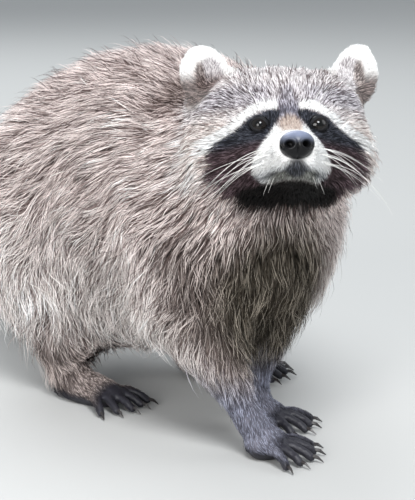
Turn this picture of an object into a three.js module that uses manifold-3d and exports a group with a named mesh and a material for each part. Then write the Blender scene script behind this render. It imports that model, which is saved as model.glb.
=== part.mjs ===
// A raccoon at life size, standing still on four paws, with its head raised and turned to its right.
//
// Millimetres, +Z up. The body faces -Y, so its left side is +X. The origin is on the floor, under the middle
// of the model. All outlines run to the tips of the coat. The flesh is one soft form, a blend of ellipsoids
// and tapered limbs, that is meshed region by region and parted by thin cuts into the named pieces.

import * as THREE from "three";
import { mergeVertices } from "three/addons/utils/BufferGeometryUtils.js";
import Module from "manifold-3d";

const wasm = await Module();
wasm.setup();

// ---- Driving dimensions -------------------------------------------------------------------------------

const GAP = 0.4; // between neighbouring pieces
const ROUNDING = 0.01; // of the points of each surface

const HEAD = { at: [-14, -180, 252], yaw: -28.5, pitch: 17, width: 160 };
const EYE = { at: [21.4, -38, 6.4], radius: 8.2 };
const EAR = { at: [60.5, 12, 55], width: 41, height: 53, thickness: 11, splay: 15, facing: 16 };
const NOSE = { at: [0, -92, -16], width: 26, height: 20, depth: 19 };
const CLAW = { fore: 9, hind: 9, radius: 1.7 };
const FINGER_RADIUS = 3.85;

// Edge length of the faces of each region.
const CELL = { trunk: 35, neck: 28.5, upperLeg: 27, lowerLeg: 16, head: 14.5, muzzle: 11, tail: 27 };

const COLOURS = {
  coat: 0x8a7a6c,
  paleCoat: 0xb5a89a,
  darkCoat: 0x4a3d37,
  muzzle: 0xe9e4dc,
  ear: 0xd8d2c8,
  leather: 0x24222a,
  paw: 0x3a353a,
  eye: 0x120c0a,
  claw: 0x2b2522,
};

// ---- Soft forms: signed distances in millimetres, negative inside --------------------------------------

const mix = (a, b, t) => a + (b - a) * t;
const towards = (a, b, t) => a.slice(0, 3).map((v, i) => mix(v, b[i], t));
const fromTo = (a, b) => a.slice(0, 3).map((v, i) => b[i] - v);
const radians = THREE.MathUtils.degToRad;

function ellipsoid(at, radii) {
  const [a, b, c] = radii;
  return (x, y, z) => {
    const u = x - at[0];
    const v = y - at[1];
    const w = z - at[2];
    const near = Math.hypot(u / a, v / b, w / c);
    const slope = Math.hypot(u / (a * a), v / (b * b), w / (c * c));
    return slope < 1e-9 ? -Math.min(a, b, c) : (near * (near - 1)) / slope;
  };
}

// A limb runs through joints, each [x, y, z, radius].
function limb(...joints) {
  return (x, y, z) => {
    let nearest = Infinity;
    for (let i = 0; i + 1 < joints.length; i++) {
      const a = joints[i];
      const b = joints[i + 1];
      const along = [b[0] - a[0], b[1] - a[1], b[2] - a[2]];
      const from = [x - a[0], y - a[1], z - a[2]];
      const length2 = along[0] ** 2 + along[1] ** 2 + along[2] ** 2;
      const dot = from[0] * along[0] + from[1] * along[1] + from[2] * along[2];
      const t = THREE.MathUtils.clamp(dot / length2, 0, 1);
      const off = Math.hypot(from[0] - along[0] * t, from[1] - along[1] * t, from[2] - along[2] * t);
      nearest = Math.min(nearest, off - mix(a[3], b[3], t));
    }
    return nearest;
  };
}

// Joins forms with a fillet about `soft` wide.
function blend(soft, ...forms) {
  return (x, y, z) =>
    forms.reduce((joined, form) => {
      const d = form(x, y, z);
      const lap = Math.max(soft - Math.abs(joined - d), 0) / soft;
      return Math.min(joined, d) - (lap * lap * soft) / 4;
    }, 1e6);
}

// A form drawn in the frame of a placement matrix.
function placed(matrix, form) {
  const e = matrix.clone().invert().elements;
  return (x, y, z) =>
    form(
      e[0] * x + e[4] * y + e[8] * z + e[12],
      e[1] * x + e[5] * y + e[9] * z + e[13],
      e[2] * x + e[6] * y + e[10] * z + e[14],
    );
}

const sideways = (form) => (x, y, z) => form(Math.abs(x), y, z); // mirrors a +X form to -X

// ---- Meshing --------------------------------------------------------------------------------------------

const CORNERS = [0, 1, 2, 3, 4, 5, 6, 7].map((c) => [c & 1, (c >> 1) & 1, c >> 2]);

// The surface of a form within a box, as one closed BufferGeometry of nearly square faces.
function meshed(form, [low, high], cell) {
  const n = low.map((v, i) => Math.ceil((high[i] - v) / cell) + 1);
  const index = (i, j, k) => i + n[0] * (j + n[1] * k);
  const value = new Float32Array(n[0] * n[1] * n[2]);
  for (let k = 0; k < n[2]; k++)
    for (let j = 0; j < n[1]; j++)
      for (let i = 0; i < n[0]; i++) {
        const rim = !i || !j || !k || i === n[0] - 1 || j === n[1] - 1 || k === n[2] - 1;
        value[index(i, j, k)] = rim ? cell : form(low[0] + i * cell, low[1] + j * cell, low[2] + k * cell);
      }

  const vertexOf = new Int32Array(value.length).fill(-1);
  const points = [];
  for (let k = 0; k + 1 < n[2]; k++)
    for (let j = 0; j + 1 < n[1]; j++)
      for (let i = 0; i + 1 < n[0]; i++) {
        const corner = CORNERS.map(([a, b, c]) => value[index(i + a, j + b, k + c)]);
        if (corner.every((v) => v < 0) || corner.every((v) => v >= 0)) continue;
        vertexOf[index(i, j, k)] = points.length / 3;
        points.push(...crossing(corner).map((v, q) => low[q] + ([i, j, k][q] + v) * cell));
      }

  const faces = [];
  const step = [1, n[0], n[0] * n[1]];
  for (let k = 0; k + 1 < n[2]; k++)
    for (let j = 0; j + 1 < n[1]; j++)
      for (let i = 0; i + 1 < n[0]; i++)
        for (let axis = 0; axis < 3; axis++) {
          const here = index(i, j, k);
          const inside = value[here] < 0;
          if (inside === value[here + step[axis]] < 0) continue;
          const u = step[(axis + 1) % 3];
          const v = step[(axis + 2) % 3];
          const quad = [here - u - v, here - v, here, here - u].map((cellAt) => vertexOf[cellAt]);
          if (!inside) quad.reverse();
          faces.push(quad[0], quad[1], quad[2], quad[0], quad[2], quad[3]);
        }

  settle(form, points, cell);
  return new THREE.BufferGeometry()
    .setAttribute("position", new THREE.Float32BufferAttribute(points, 3))
    .setIndex(faces);
}

// The middle of the places where a surface crosses the edges of one unit cell.
function crossing(corner) {
  const sum = [0, 0, 0];
  let count = 0;
  for (let a = 0; a < 8; a++)
    for (const bit of [1, 2, 4]) {
      const b = a | bit;
      if (a === b || corner[a] < 0 === corner[b] < 0) continue;
      const t = corner[a] / (corner[a] - corner[b]);
      for (let q = 0; q < 3; q++) sum[q] += mix(CORNERS[a][q], CORNERS[b][q], t);
      count++;
    }
  return sum.map((v) => v / count);
}

// Moves the points of a mesh onto the form itself, except where the box has cut it.
function settle(form, points, cell) {
  const h = 0.5;
  for (let p = 0; p < points.length; p += 3)
    for (let round = 0; round < 3; round++) {
      const [x, y, z] = points.slice(p, p + 3);
      const d = form(x, y, z);
      if (Math.abs(d) > cell * 0.5) break;
      const slope = [
        (form(x + h, y, z) - form(x - h, y, z)) / (2 * h),
        (form(x, y + h, z) - form(x, y - h, z)) / (2 * h),
        (form(x, y, z + h) - form(x, y, z - h)) / (2 * h),
      ];
      const steep = slope[0] ** 2 + slope[1] ** 2 + slope[2] ** 2;
      if (steep < 0.05) break;
      for (let q = 0; q < 3; q++) points[p + q] -= (d * slope[q]) / steep;
    }
}

// The box around joints, each [x, y, z, radius], with some room.
function boxAround(joints, room) {
  const low = [0, 1, 2].map((q) => Math.min(...joints.map((j) => j[q] - j[3])) - room);
  const high = [0, 1, 2].map((q) => Math.max(...joints.map((j) => j[q] + j[3])) + room);
  return [low, high];
}

// A tapered tube along a smooth curve through stations, each [x, y, z, radius], closed by blunt ends.
function tube(stations, sides, steps) {
  const curve = new THREE.CatmullRomCurve3(stations.map(([x, y, z]) => new THREE.Vector3(x, y, z)));
  const last = stations.length - 1;
  const frames = curve.computeFrenetFrames(steps);
  const points = [];
  const radii = [];
  for (let i = 0; i <= steps; i++) {
    const span = Math.min(Math.floor((i / steps) * last), last - 1);
    radii.push(mix(stations[span][3], stations[span + 1][3], (i / steps) * last - span));
    const centre = curve.getPoint(i / steps);
    for (let s = 0; s < sides; s++) {
      const angle = (2 * Math.PI * s) / sides;
      const out = frames.normals[i].clone().multiplyScalar(Math.cos(angle));
      out.addScaledVector(frames.binormals[i], Math.sin(angle));
      points.push(...centre.clone().addScaledVector(out, radii[i]).toArray());
    }
  }

  const faces = [];
  for (let i = 0; i < steps; i++)
    for (let s = 0; s < sides; s++) {
      const a = i * sides + s;
      const b = i * sides + ((s + 1) % sides);
      faces.push(a, b, b + sides, a, b + sides, a + sides);
    }
  for (const end of [0, steps]) {
    const bulge = radii[end] * 0.55 * (end ? 1 : -1);
    const apex = points.length / 3;
    points.push(...curve.getPoint(end / steps).addScaledVector(frames.tangents[end], bulge).toArray());
    for (let s = 0; s < sides; s++) {
      const a = end * sides + s;
      const b = end * sides + ((s + 1) % sides);
      faces.push(...(end ? [a, b, apex] : [b, a, apex]));
    }
  }
  return new THREE.BufferGeometry()
    .setAttribute("position", new THREE.Float32BufferAttribute(points, 3))
    .setIndex(faces);
}

// ---- Cutting --------------------------------------------------------------------------------------------

function welded(geometry) {
  const bare = geometry.clone();
  bare.deleteAttribute("normal");
  bare.deleteAttribute("uv");
  return mergeVertices(bare, 1e-3);
}

function solid(geometry) {
  const { attributes, index } = welded(geometry);
  return new wasm.Manifold(
    new wasm.Mesh({
      numProp: 3,
      vertProperties: attributes.position.array,
      triVerts: new Uint32Array(index.array),
    }),
  );
}

// The surface of a solid with its points on a grid of ROUNDING, without the faces that this closes up.
function geometryOf(made) {
  const { vertProperties, triVerts } = made.getMesh();
  const snapped = vertProperties.map((v) => Math.round(v / ROUNDING) * ROUNDING);
  const surface = new THREE.BufferGeometry()
    .setAttribute("position", new THREE.BufferAttribute(snapped, 3))
    .setIndex(new THREE.BufferAttribute(triVerts, 1));
  const merged = mergeVertices(surface, ROUNDING / 4);
  const faces = new Map(); // by their sorted corners, so that two faces back to back cancel out
  for (let i = 0; i < merged.index.count; i += 3) {
    const face = [...merged.index.array.slice(i, i + 3)];
    const key = face.toSorted((a, b) => a - b).join();
    if (new Set(face).size < 3) continue;
    if (!faces.delete(key)) faces.set(key, face);
  }
  return merged.setIndex([...faces.values()].flat());
}

// The same shape with its skin moved outward by the gap.
function grown(geometry) {
  const shape = welded(geometry);
  shape.computeVertexNormals();
  const { position, normal } = shape.attributes;
  for (let i = 0; i < position.count; i++)
    position.setXYZ(
      i,
      position.getX(i) + normal.getX(i) * GAP,
      position.getY(i) + normal.getY(i) * GAP,
      position.getZ(i) + normal.getZ(i) * GAP,
    );
  return shape;
}

const largest = (made) => made.decompose().reduce((a, b) => (a.volume() > b.volume() ? a : b));
const without = (made, geometries) => geometries.reduce((left, g) => left.subtract(solid(grown(g))), made);

// Everything on the side of a plane that its normal points to, starting half a gap beyond the plane.
function beyond([at, normal], gap = GAP / 2) {
  const size = 900;
  const box = new THREE.BoxGeometry(size, size, size).translate(0, 0, size / 2 + gap);
  const turn = new THREE.Quaternion().setFromUnitVectors(
    new THREE.Vector3(0, 0, 1),
    new THREE.Vector3(...normal).normalize(),
  );
  return solid(box.applyQuaternion(turn).translate(...at));
}

const before = ([at, normal]) => beyond([at, normal.map((v) => -v)]);

// ---- The head's own frame: origin in the middle of the skull, -Y to the nose, +X to its left -----------

const headFrame = new THREE.Matrix4()
  .makeRotationZ(radians(HEAD.yaw))
  .multiply(new THREE.Matrix4().makeRotationX(radians(-HEAD.pitch)))
  .setPosition(...HEAD.at);
const inHead = (x, y, z) => new THREE.Vector3(x, y, z).applyMatrix4(headFrame).toArray();
const headDirection = (x, y, z) => new THREE.Vector3(x, y, z).transformDirection(headFrame).toArray();

const skullForm = blend(
  20,
  ellipsoid([0, 12, 17], [52, 51, 46]), // cranium
  ellipsoid([0, -12, 9], [37, 26, 20]), // brow
  sideways(ellipsoid([37, 16, 24], [28, 30, 34])), // temple, under the ear
  sideways(ellipsoid([HEAD.width / 2 - 33, 10, -14], [31, 34, 32])), // cheek ruff
  sideways(limb([34, -14, -12, 23], [21, -34, -20, 18])), // below the eyes
  ellipsoid([0, 6, -32], [50, 38, 24]), // throat
);
const snoutForm = blend(
  14,
  limb([0, -26, -6, 22], [0, -56, -14, 18], [0, -84, -17, 13.5]), // bridge
  sideways(limb([15, -38, -24, 17], [9, -74, -25, 12])), // lips
  limb([0, -26, -28, 21], [0, -68, -30, 9.5]), // chin
);
const headForm = placed(headFrame, blend(10, skullForm, snoutForm));

// ---- The body -----------------------------------------------------------------------------------------

// Each leg from the body down to its ankle, then where the middle of its paw stands and which way it points.
const LEGS = {
  fore_right: {
    joints: [
      [-60, -94, 178, 52],
      [-66, -116, 118, 44],
      [-55, -152, 76, 22],
      [-42, -174, 34, 13],
    ],
    paw: [-34, -184],
    heading: 36,
  },
  fore_left: {
    joints: [
      [56, -92, 178, 50],
      [30, -100, 118, 36],
      [8, -112, 72, 20],
      [4, -112, 34, 13],
    ],
    paw: [8, -120],
    heading: 28,
  },
  hind_right: {
    joints: [
      [-68, 122, 168, 66],
      [-86, 94, 106, 59],
      [-86, 62, 60, 36],
      [-87, 54, 28, 17],
    ],
    paw: [-80, 26],
    heading: 14,
  },
  hind_left: {
    joints: [
      [66, 120, 170, 64],
      [76, 88, 108, 54],
      [56, 62, 62, 33],
      [46, 51, 28, 18],
    ],
    paw: [68, 32],
    heading: 50,
  },
};

const TAIL = [
  [0, 212, 212, 34],
  [0, 258, 156, 36],
  [-4, 292, 100, 39],
  [-10, 336, 64, 37],
  [-18, 390, 48, 32],
  [-26, 436, 42, 22],
];

const trunkForm = blend(
  60,
  ellipsoid([0, -44, 180], [100, 104, 120]), // chest
  ellipsoid([0, 44, 178], [112, 116, 136]), // barrel
  ellipsoid([0, 134, 174], [122, 104, 112]), // rump
);
const neckForm = limb([0, -70, 214, 80], [-10, -128, 232, 70], [-14, -158, 238, 48]);
const breastForm = ellipsoid([-2, -130, 164], [72, 54, 68]);
const legForms = Object.values(LEGS).map(({ joints }) => limb(...joints));

const flesh = blend(16, blend(36, trunkForm, neckForm, breastForm, limb(...TAIL), ...legForms), headForm);

// ---- Paws: a palm, five fingers and a wrist, flat where they stand ---------------------------------------

const FLOOR = beyond([[0, 0, 0], [0, 0, 1]], 0);

const PAWS = {
  fore: { palm: [17.5, 22, 13], height: 11, reach: 42, wide: 12, spread: [-40, -20, 0, 18, 36] },
  hind: { palm: [18, 42, 14], height: 10, reach: 58, wide: 13, spread: [-28, -13, 0, 12, 25] },
};

function fingerStations(paw, i) {
  const angle = radians(paw.spread[i]);
  const from = [(paw.wide * (i - 2)) / 2, -paw.palm[1] * 0.45];
  const length = paw.reach * (1 - 0.05 * Math.abs(i - 2)) - paw.palm[1] * 0.45;
  const at = (share, z, radius) => [
    from[0] + Math.sin(angle) * length * share,
    from[1] - Math.cos(angle) * length * share,
    z,
    FINGER_RADIUS * radius,
  ];
  return [at(0, 10, 1.15), at(0.45, 12, 1), at(0.8, 7.5, 0.92), at(1, 3.2, 0.86)];
}

// A claw grows from its fingertip forward and curves down to just above the floor.
function clawGeometry(paw, i, length) {
  const [x, y, z] = fingerStations(paw, i)[3];
  const angle = radians(paw.spread[i]);
  const at = (ahead, up, radius) => [
    x + Math.sin(angle) * ahead,
    y - Math.cos(angle) * ahead,
    z + up,
    CLAW.radius * radius,
  ];
  return tube([at(0.5, 2, 1), at(length * 0.45, 1.6, 0.85), at(length, -1.8, 0.25)], 4, 2);
}

// ---- Building the pieces ----------------------------------------------------------------------------------

const pieces = new Map(); // name -> [solid, colour]
const SIDES = { right: -1, left: 1 };

const eyeGeometry = (side) =>
  new THREE.SphereGeometry(EYE.radius, 10, 7)
    .rotateX(Math.PI / 2)
    .translate(side * EYE.at[0], EYE.at[1], EYE.at[2])
    .applyMatrix4(headFrame);

// A leaf with a round top, cupped towards the front.
function earGeometry(side) {
  const shape = new THREE.SphereGeometry(1, 11, 8);
  const { position } = shape.attributes;
  for (let i = 0; i < position.count; i++) {
    const [x, y, z] = [position.getX(i), position.getY(i), position.getZ(i)];
    const cup = 0.9 * (1 - Math.min(1, Math.hypot(x, z)) ** 4);
    position.setXYZ(
      i,
      (x * (1 - 0.14 * Math.max(z, 0) ** 2) * EAR.width) / 2,
      ((y < 0 ? y + cup * 1.25 : y * 1.15 + cup * 1.1) * EAR.thickness) / 2,
      (z * EAR.height) / 2,
    );
  }
  return shape
    .rotateZ(radians(side * EAR.facing))
    .rotateY(radians(side * EAR.splay))
    .translate(side * EAR.at[0], EAR.at[1], EAR.at[2])
    .applyMatrix4(headFrame);
}

// A rounded pad, wider above than below.
function noseGeometry() {
  const shape = new THREE.SphereGeometry(1, 11, 8);
  const { position } = shape.attributes;
  for (let i = 0; i < position.count; i++) position.setX(i, position.getX(i) * (1 + 0.22 * position.getZ(i)));
  return shape
    .scale(NOSE.width / 2, NOSE.depth / 2, NOSE.height / 2)
    .translate(...NOSE.at)
    .applyMatrix4(headFrame);
}

// Within this egg the flesh belongs to the head, in front of the plane to the muzzle.
const headZone = new THREE.SphereGeometry(1, 12, 8)
  .scale(100, 92, 76)
  .translate(0, -34, 2)
  .applyMatrix4(headFrame);
const MUZZLE_CUT = [inHead(0, -51, 0), headDirection(0, -1, 0)];

// The flesh inside the egg, meshed evenly about the middle of the face, `cells` to each side.
function fleshOfHead(cells, cell) {
  const seen = placed(headFrame.clone().invert(), flesh);
  const reach = cells * cell;
  const mesh = meshed(seen, [[-reach, -reach, -reach], [reach, reach, reach]], cell);
  return solid(mesh.applyMatrix4(headFrame)).intersect(solid(headZone));
}

// Builds the head and gives what it takes from the neck.
function buildHead() {
  const sides = Object.entries(SIDES);
  const ears = sides.map(([, side]) => earGeometry(side));
  const eyes = sides.map(([, side]) => eyeGeometry(side));
  sides.forEach(([name], i) => {
    pieces.set(`ear_${name}`, [solid(ears[i]), COLOURS.ear]);
    pieces.set(`eye_${name}`, [solid(eyes[i]), COLOURS.eye]);
  });
  const head = fleshOfHead(10, CELL.head).intersect(before(MUZZLE_CUT));
  pieces.set("head", [largest(without(head, [...ears, ...eyes])), COLOURS.paleCoat]);

  const nose = noseGeometry();
  const muzzle = fleshOfHead(12, CELL.muzzle).intersect(beyond(MUZZLE_CUT));
  pieces.set("muzzle", [largest(without(muzzle, [nose])), COLOURS.muzzle]);
  pieces.set("nose", [solid(nose), COLOURS.leather]);
  return [headZone, ...ears];
}

// Draws in the back half of a ball, which becomes the palm's heel.
function narrowHeel(ball) {
  const { position } = ball.attributes;
  for (let i = 0; i < position.count; i++) {
    const back = Math.max(position.getY(i), 0);
    position.setX(i, position.getX(i) * (1 - 0.25 * back));
    position.setY(i, position.getY(i) - 0.35 * back);
  }
}

function buildPaw(name, { joints, paw: at, heading }) {
  const [kind, side] = name.split("_");
  const shape = PAWS[kind];
  const frame = new THREE.Matrix4().makeRotationZ(radians(heading)).setPosition(...at, 0);
  const inWorld = (geometry) => geometry.applyMatrix4(frame);
  const palm = new THREE.SphereGeometry(1, 10, 7).rotateX(Math.PI / 2);
  if (kind === "fore") narrowHeel(palm);
  palm.scale(...shape.palm);
  palm.translate(0, 0, shape.height);
  const [above, ankle] = joints.slice(-2);
  const wrist = tube([[...at, shape.height, 10], ankle, [...towards(ankle, above, 0.3), ankle[3]]], 8, 3);
  const fingers = shape.spread.map((_, i) => inWorld(tube(fingerStations(shape, i), 5, 3)));
  const parts = [inWorld(palm), wrist, ...fingers].map(solid);
  const cut = [towards(ankle, above, 0.12), fromTo(ankle, above)];
  const paw = parts.reduce((a, b) => a.add(b)).intersect(before(cut)).intersect(FLOOR);
  const claws = shape.spread.map((_, i) => inWorld(clawGeometry(shape, i, CLAW[kind])));
  pieces.set(`${kind}paw_${side}`, [largest(without(paw, claws)), COLOURS.paw]);
  claws.forEach((claw, i) => pieces.set(`claw_${kind}_${side}_${i + 1}`, [solid(claw), COLOURS.claw]));
  return cut;
}

// Builds a leg and gives the zone that it takes from the trunk: a wide tube that starts at the flank.
function buildLeg(name, leg) {
  const [kind, side] = name.split("_");
  const [out, room] = [[34, 14, 0, 0], [0, 14, 16, 16]];
  const reach = leg.joints.map(([x, y, z, r], i) => [x + SIDES[side] * out[i], y, z, r + room[i]]);
  const zone = tube(reach, 8, 4);
  const ankleCut = buildPaw(name, leg);
  const [top, bend, middle, ankle] = reach;
  const bendCut = [towards(bend, middle, 0.4), fromTo(bend, middle)];
  const part = (joints, cell) =>
    solid(meshed(flesh, boxAround(joints, cell), cell)).intersect(solid(zone));
  const upper = part([top, bend, middle], CELL.upperLeg).intersect(before(bendCut));
  const lower = part([bend, middle, ankle], CELL.lowerLeg)
    .intersect(beyond(bendCut))
    .intersect(beyond(ankleCut));
  const names = kind === "fore" ? ["shoulder", "forearm"] : ["thigh", "shank"];
  pieces.set(`${names[0]}_${side}`, [largest(upper), COLOURS.coat]);
  pieces.set(`${names[1]}_${side}`, [largest(lower), COLOURS.darkCoat]);
  return zone;
}

// Builds the tail in three parts and gives the zone that it takes from the trunk.
function buildTail() {
  const reach = TAIL.map(([x, y, z, r]) => [x, y, z, r + 24]);
  const zone = tube(reach, 8, 5);
  const tail = solid(meshed(flesh, boxAround(reach, CELL.tail), CELL.tail)).intersect(solid(zone));
  const cuts = [2, 4].map((i) => [TAIL[i].slice(0, 3), fromTo(TAIL[i - 1], TAIL[i])]);
  const parts = {
    tail_base: tail.intersect(before(cuts[0])),
    tail_middle: tail.intersect(beyond(cuts[0])).intersect(before(cuts[1])),
    tail_tip: tail.intersect(beyond(cuts[1])),
  };
  for (const [name, made] of Object.entries(parts)) pieces.set(name, [largest(made), COLOURS.coat]);
  return zone;
}

const NECK_CUT = [
  [0, -96, 200],
  [-0.1, -1, 0.12],
];
const LOIN_CUT = [
  [0, 34, 0],
  [0, 1, 0],
];

function buildTrunk(zones) {
  const body = (box, cell) => without(solid(meshed(flesh, box, cell)), zones);
  const trunk = body(boxAround([[0, 30, 160, 250]], 0), CELL.trunk).intersect(before(NECK_CUT));
  pieces.set("chest", [largest(trunk.intersect(before(LOIN_CUT))), COLOURS.coat]);
  pieces.set("loin", [largest(trunk.intersect(beyond(LOIN_CUT))), COLOURS.coat]);
  const neck = body(boxAround([[-8, -132, 200, 130]], 0), CELL.neck).intersect(beyond(NECK_CUT));
  pieces.set("neck", [largest(neck), COLOURS.coat]);
}

const limbZones = Object.entries(LEGS).map(([name, leg]) => buildLeg(name, leg));
buildTrunk([...buildHead(), ...limbZones, buildTail()]);

const raccoon = new THREE.Group();
raccoon.name = "raccoon";
const extent = new THREE.Box3();
for (const [name, [made, colour]] of pieces) {
  const material = new THREE.MeshStandardMaterial({ color: colour, roughness: 0.9, metalness: 0 });
  const mesh = new THREE.Mesh(geometryOf(made), material);
  mesh.name = name;
  raccoon.add(mesh);
  extent.expandByObject(mesh);
}

// The origin goes under the middle of the whole model.
const middle = extent.getCenter(new THREE.Vector3());
for (const mesh of raccoon.children) mesh.geometry.translate(-middle.x, -middle.y, 0);

export default raccoon;
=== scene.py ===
"""A raccoon at life size, standing still on four paws: its skin, coat, eyes, nose and whiskers.

Metres, +Z up, the body faces -Y and its left side is +X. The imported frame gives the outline, out to the tips
of the coat. One skin is drawn inside the frame's flesh, deeper where the coat is longer, and solid locks of
hair grow from it to the outline. Places on the head are millimetres in the head's own frame, which the two
eyes and the nose define: x to the animal's left, y towards the back of the head, z up, the eyes level.
"""

import math

import bmesh
import bpy
import numpy as np
import openvdb
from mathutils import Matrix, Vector, kdtree


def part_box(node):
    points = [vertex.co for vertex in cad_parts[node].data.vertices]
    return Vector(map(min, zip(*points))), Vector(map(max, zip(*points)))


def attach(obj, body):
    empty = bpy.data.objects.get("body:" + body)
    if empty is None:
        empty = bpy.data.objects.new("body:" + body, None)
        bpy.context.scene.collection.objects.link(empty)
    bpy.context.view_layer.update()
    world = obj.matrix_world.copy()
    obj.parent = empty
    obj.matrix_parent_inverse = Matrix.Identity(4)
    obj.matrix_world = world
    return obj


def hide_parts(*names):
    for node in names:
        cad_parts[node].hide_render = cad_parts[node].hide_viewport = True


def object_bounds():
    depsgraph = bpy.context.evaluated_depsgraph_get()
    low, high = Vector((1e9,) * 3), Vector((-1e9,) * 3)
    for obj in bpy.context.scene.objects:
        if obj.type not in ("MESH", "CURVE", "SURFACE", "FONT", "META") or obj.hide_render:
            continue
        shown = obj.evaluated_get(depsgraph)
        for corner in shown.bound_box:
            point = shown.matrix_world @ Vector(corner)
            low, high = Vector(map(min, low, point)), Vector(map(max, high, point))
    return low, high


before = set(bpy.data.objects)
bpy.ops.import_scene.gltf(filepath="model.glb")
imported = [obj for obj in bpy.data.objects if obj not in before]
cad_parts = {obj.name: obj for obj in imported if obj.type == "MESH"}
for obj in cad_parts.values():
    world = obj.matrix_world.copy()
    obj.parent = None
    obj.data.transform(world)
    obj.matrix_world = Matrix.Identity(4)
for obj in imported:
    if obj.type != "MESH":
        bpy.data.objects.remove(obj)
cad_low, cad_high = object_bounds()

MM = 0.001
rng = np.random.default_rng(11)

# ---- Landmarks of the frame -----------------------------------------------------------------------------

FLESH = [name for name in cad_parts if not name.startswith(("claw", "eye"))]
SIDES = {"right": -1.0, "left": 1.0}
TAIL_NODES = ("tail_base", "tail_middle", "tail_tip")


def low(node):
    return np.array(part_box(node)[0])


def high(node):
    return np.array(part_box(node)[1])


def centre(node):
    return (low(node) + high(node)) / 2


def spot(node, across, along, up):
    """A point of a node's box, by shares of its width, length and height."""
    return low(node) + np.array([across, along, up]) * (high(node) - low(node))


def unit(vectors):
    vectors = np.asarray(vectors, float)
    return vectors / np.maximum(np.linalg.norm(vectors, axis=-1, keepdims=True), 1e-12)


EYE = np.array([21.4, -38.0, 6.4])  # the left eye's centre in the head frame, in mm
NOSE = np.array([0.0, -92.0, -16.0])  # the middle of the nose pad
NOSE_DROP = math.atan2(EYE[2] - NOSE[2], EYE[1] - NOSE[1])  # from the eyes' level down to the nose


def head_axes():
    """The head's x, y and z axes as rows, and its origin."""
    across = unit(centre("eye_left") - centre("eye_right"))
    between = (centre("eye_left") + centre("eye_right")) / 2
    ahead = centre("nose") - between
    ahead = unit(ahead - across * (ahead @ across))
    aside = np.cross(across, ahead)
    back = -math.cos(NOSE_DROP) * ahead + math.sin(NOSE_DROP) * aside
    up = -math.sin(NOSE_DROP) * ahead - math.cos(NOSE_DROP) * aside
    axes = np.stack([across, back, up])
    return axes, between - (EYE * [0, 1, 1] * MM) @ axes


HEAD_AXES, HEAD_AT = head_axes()


def to_head(points):
    """World points in the head frame, in mm."""
    return (np.asarray(points) - HEAD_AT) @ HEAD_AXES.T / MM


def from_head(points):
    return np.asarray(points, float) * MM @ HEAD_AXES + HEAD_AT


def turned(vectors):
    """Directions of the head frame, in the world."""
    return np.asarray(vectors, float) @ HEAD_AXES


def smoothstep(start, end, value):
    share = np.clip((value - start) / (end - start), 0.0, 1.0)
    return share * share * (3 - 2 * share)


def fade(start, end, value):
    """1 up to the start, and 0 from the end on."""
    return 1 - smoothstep(start, end, value)


# ---- The coat's style, at named spots --------------------------------------------------------------------

# Each row: where it is, which way the hair lies, and in millimetres how deep the skin lies under the tips,
# how long and how wide a lock is, then how wavy it is. Between the spots the values blend.


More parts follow.
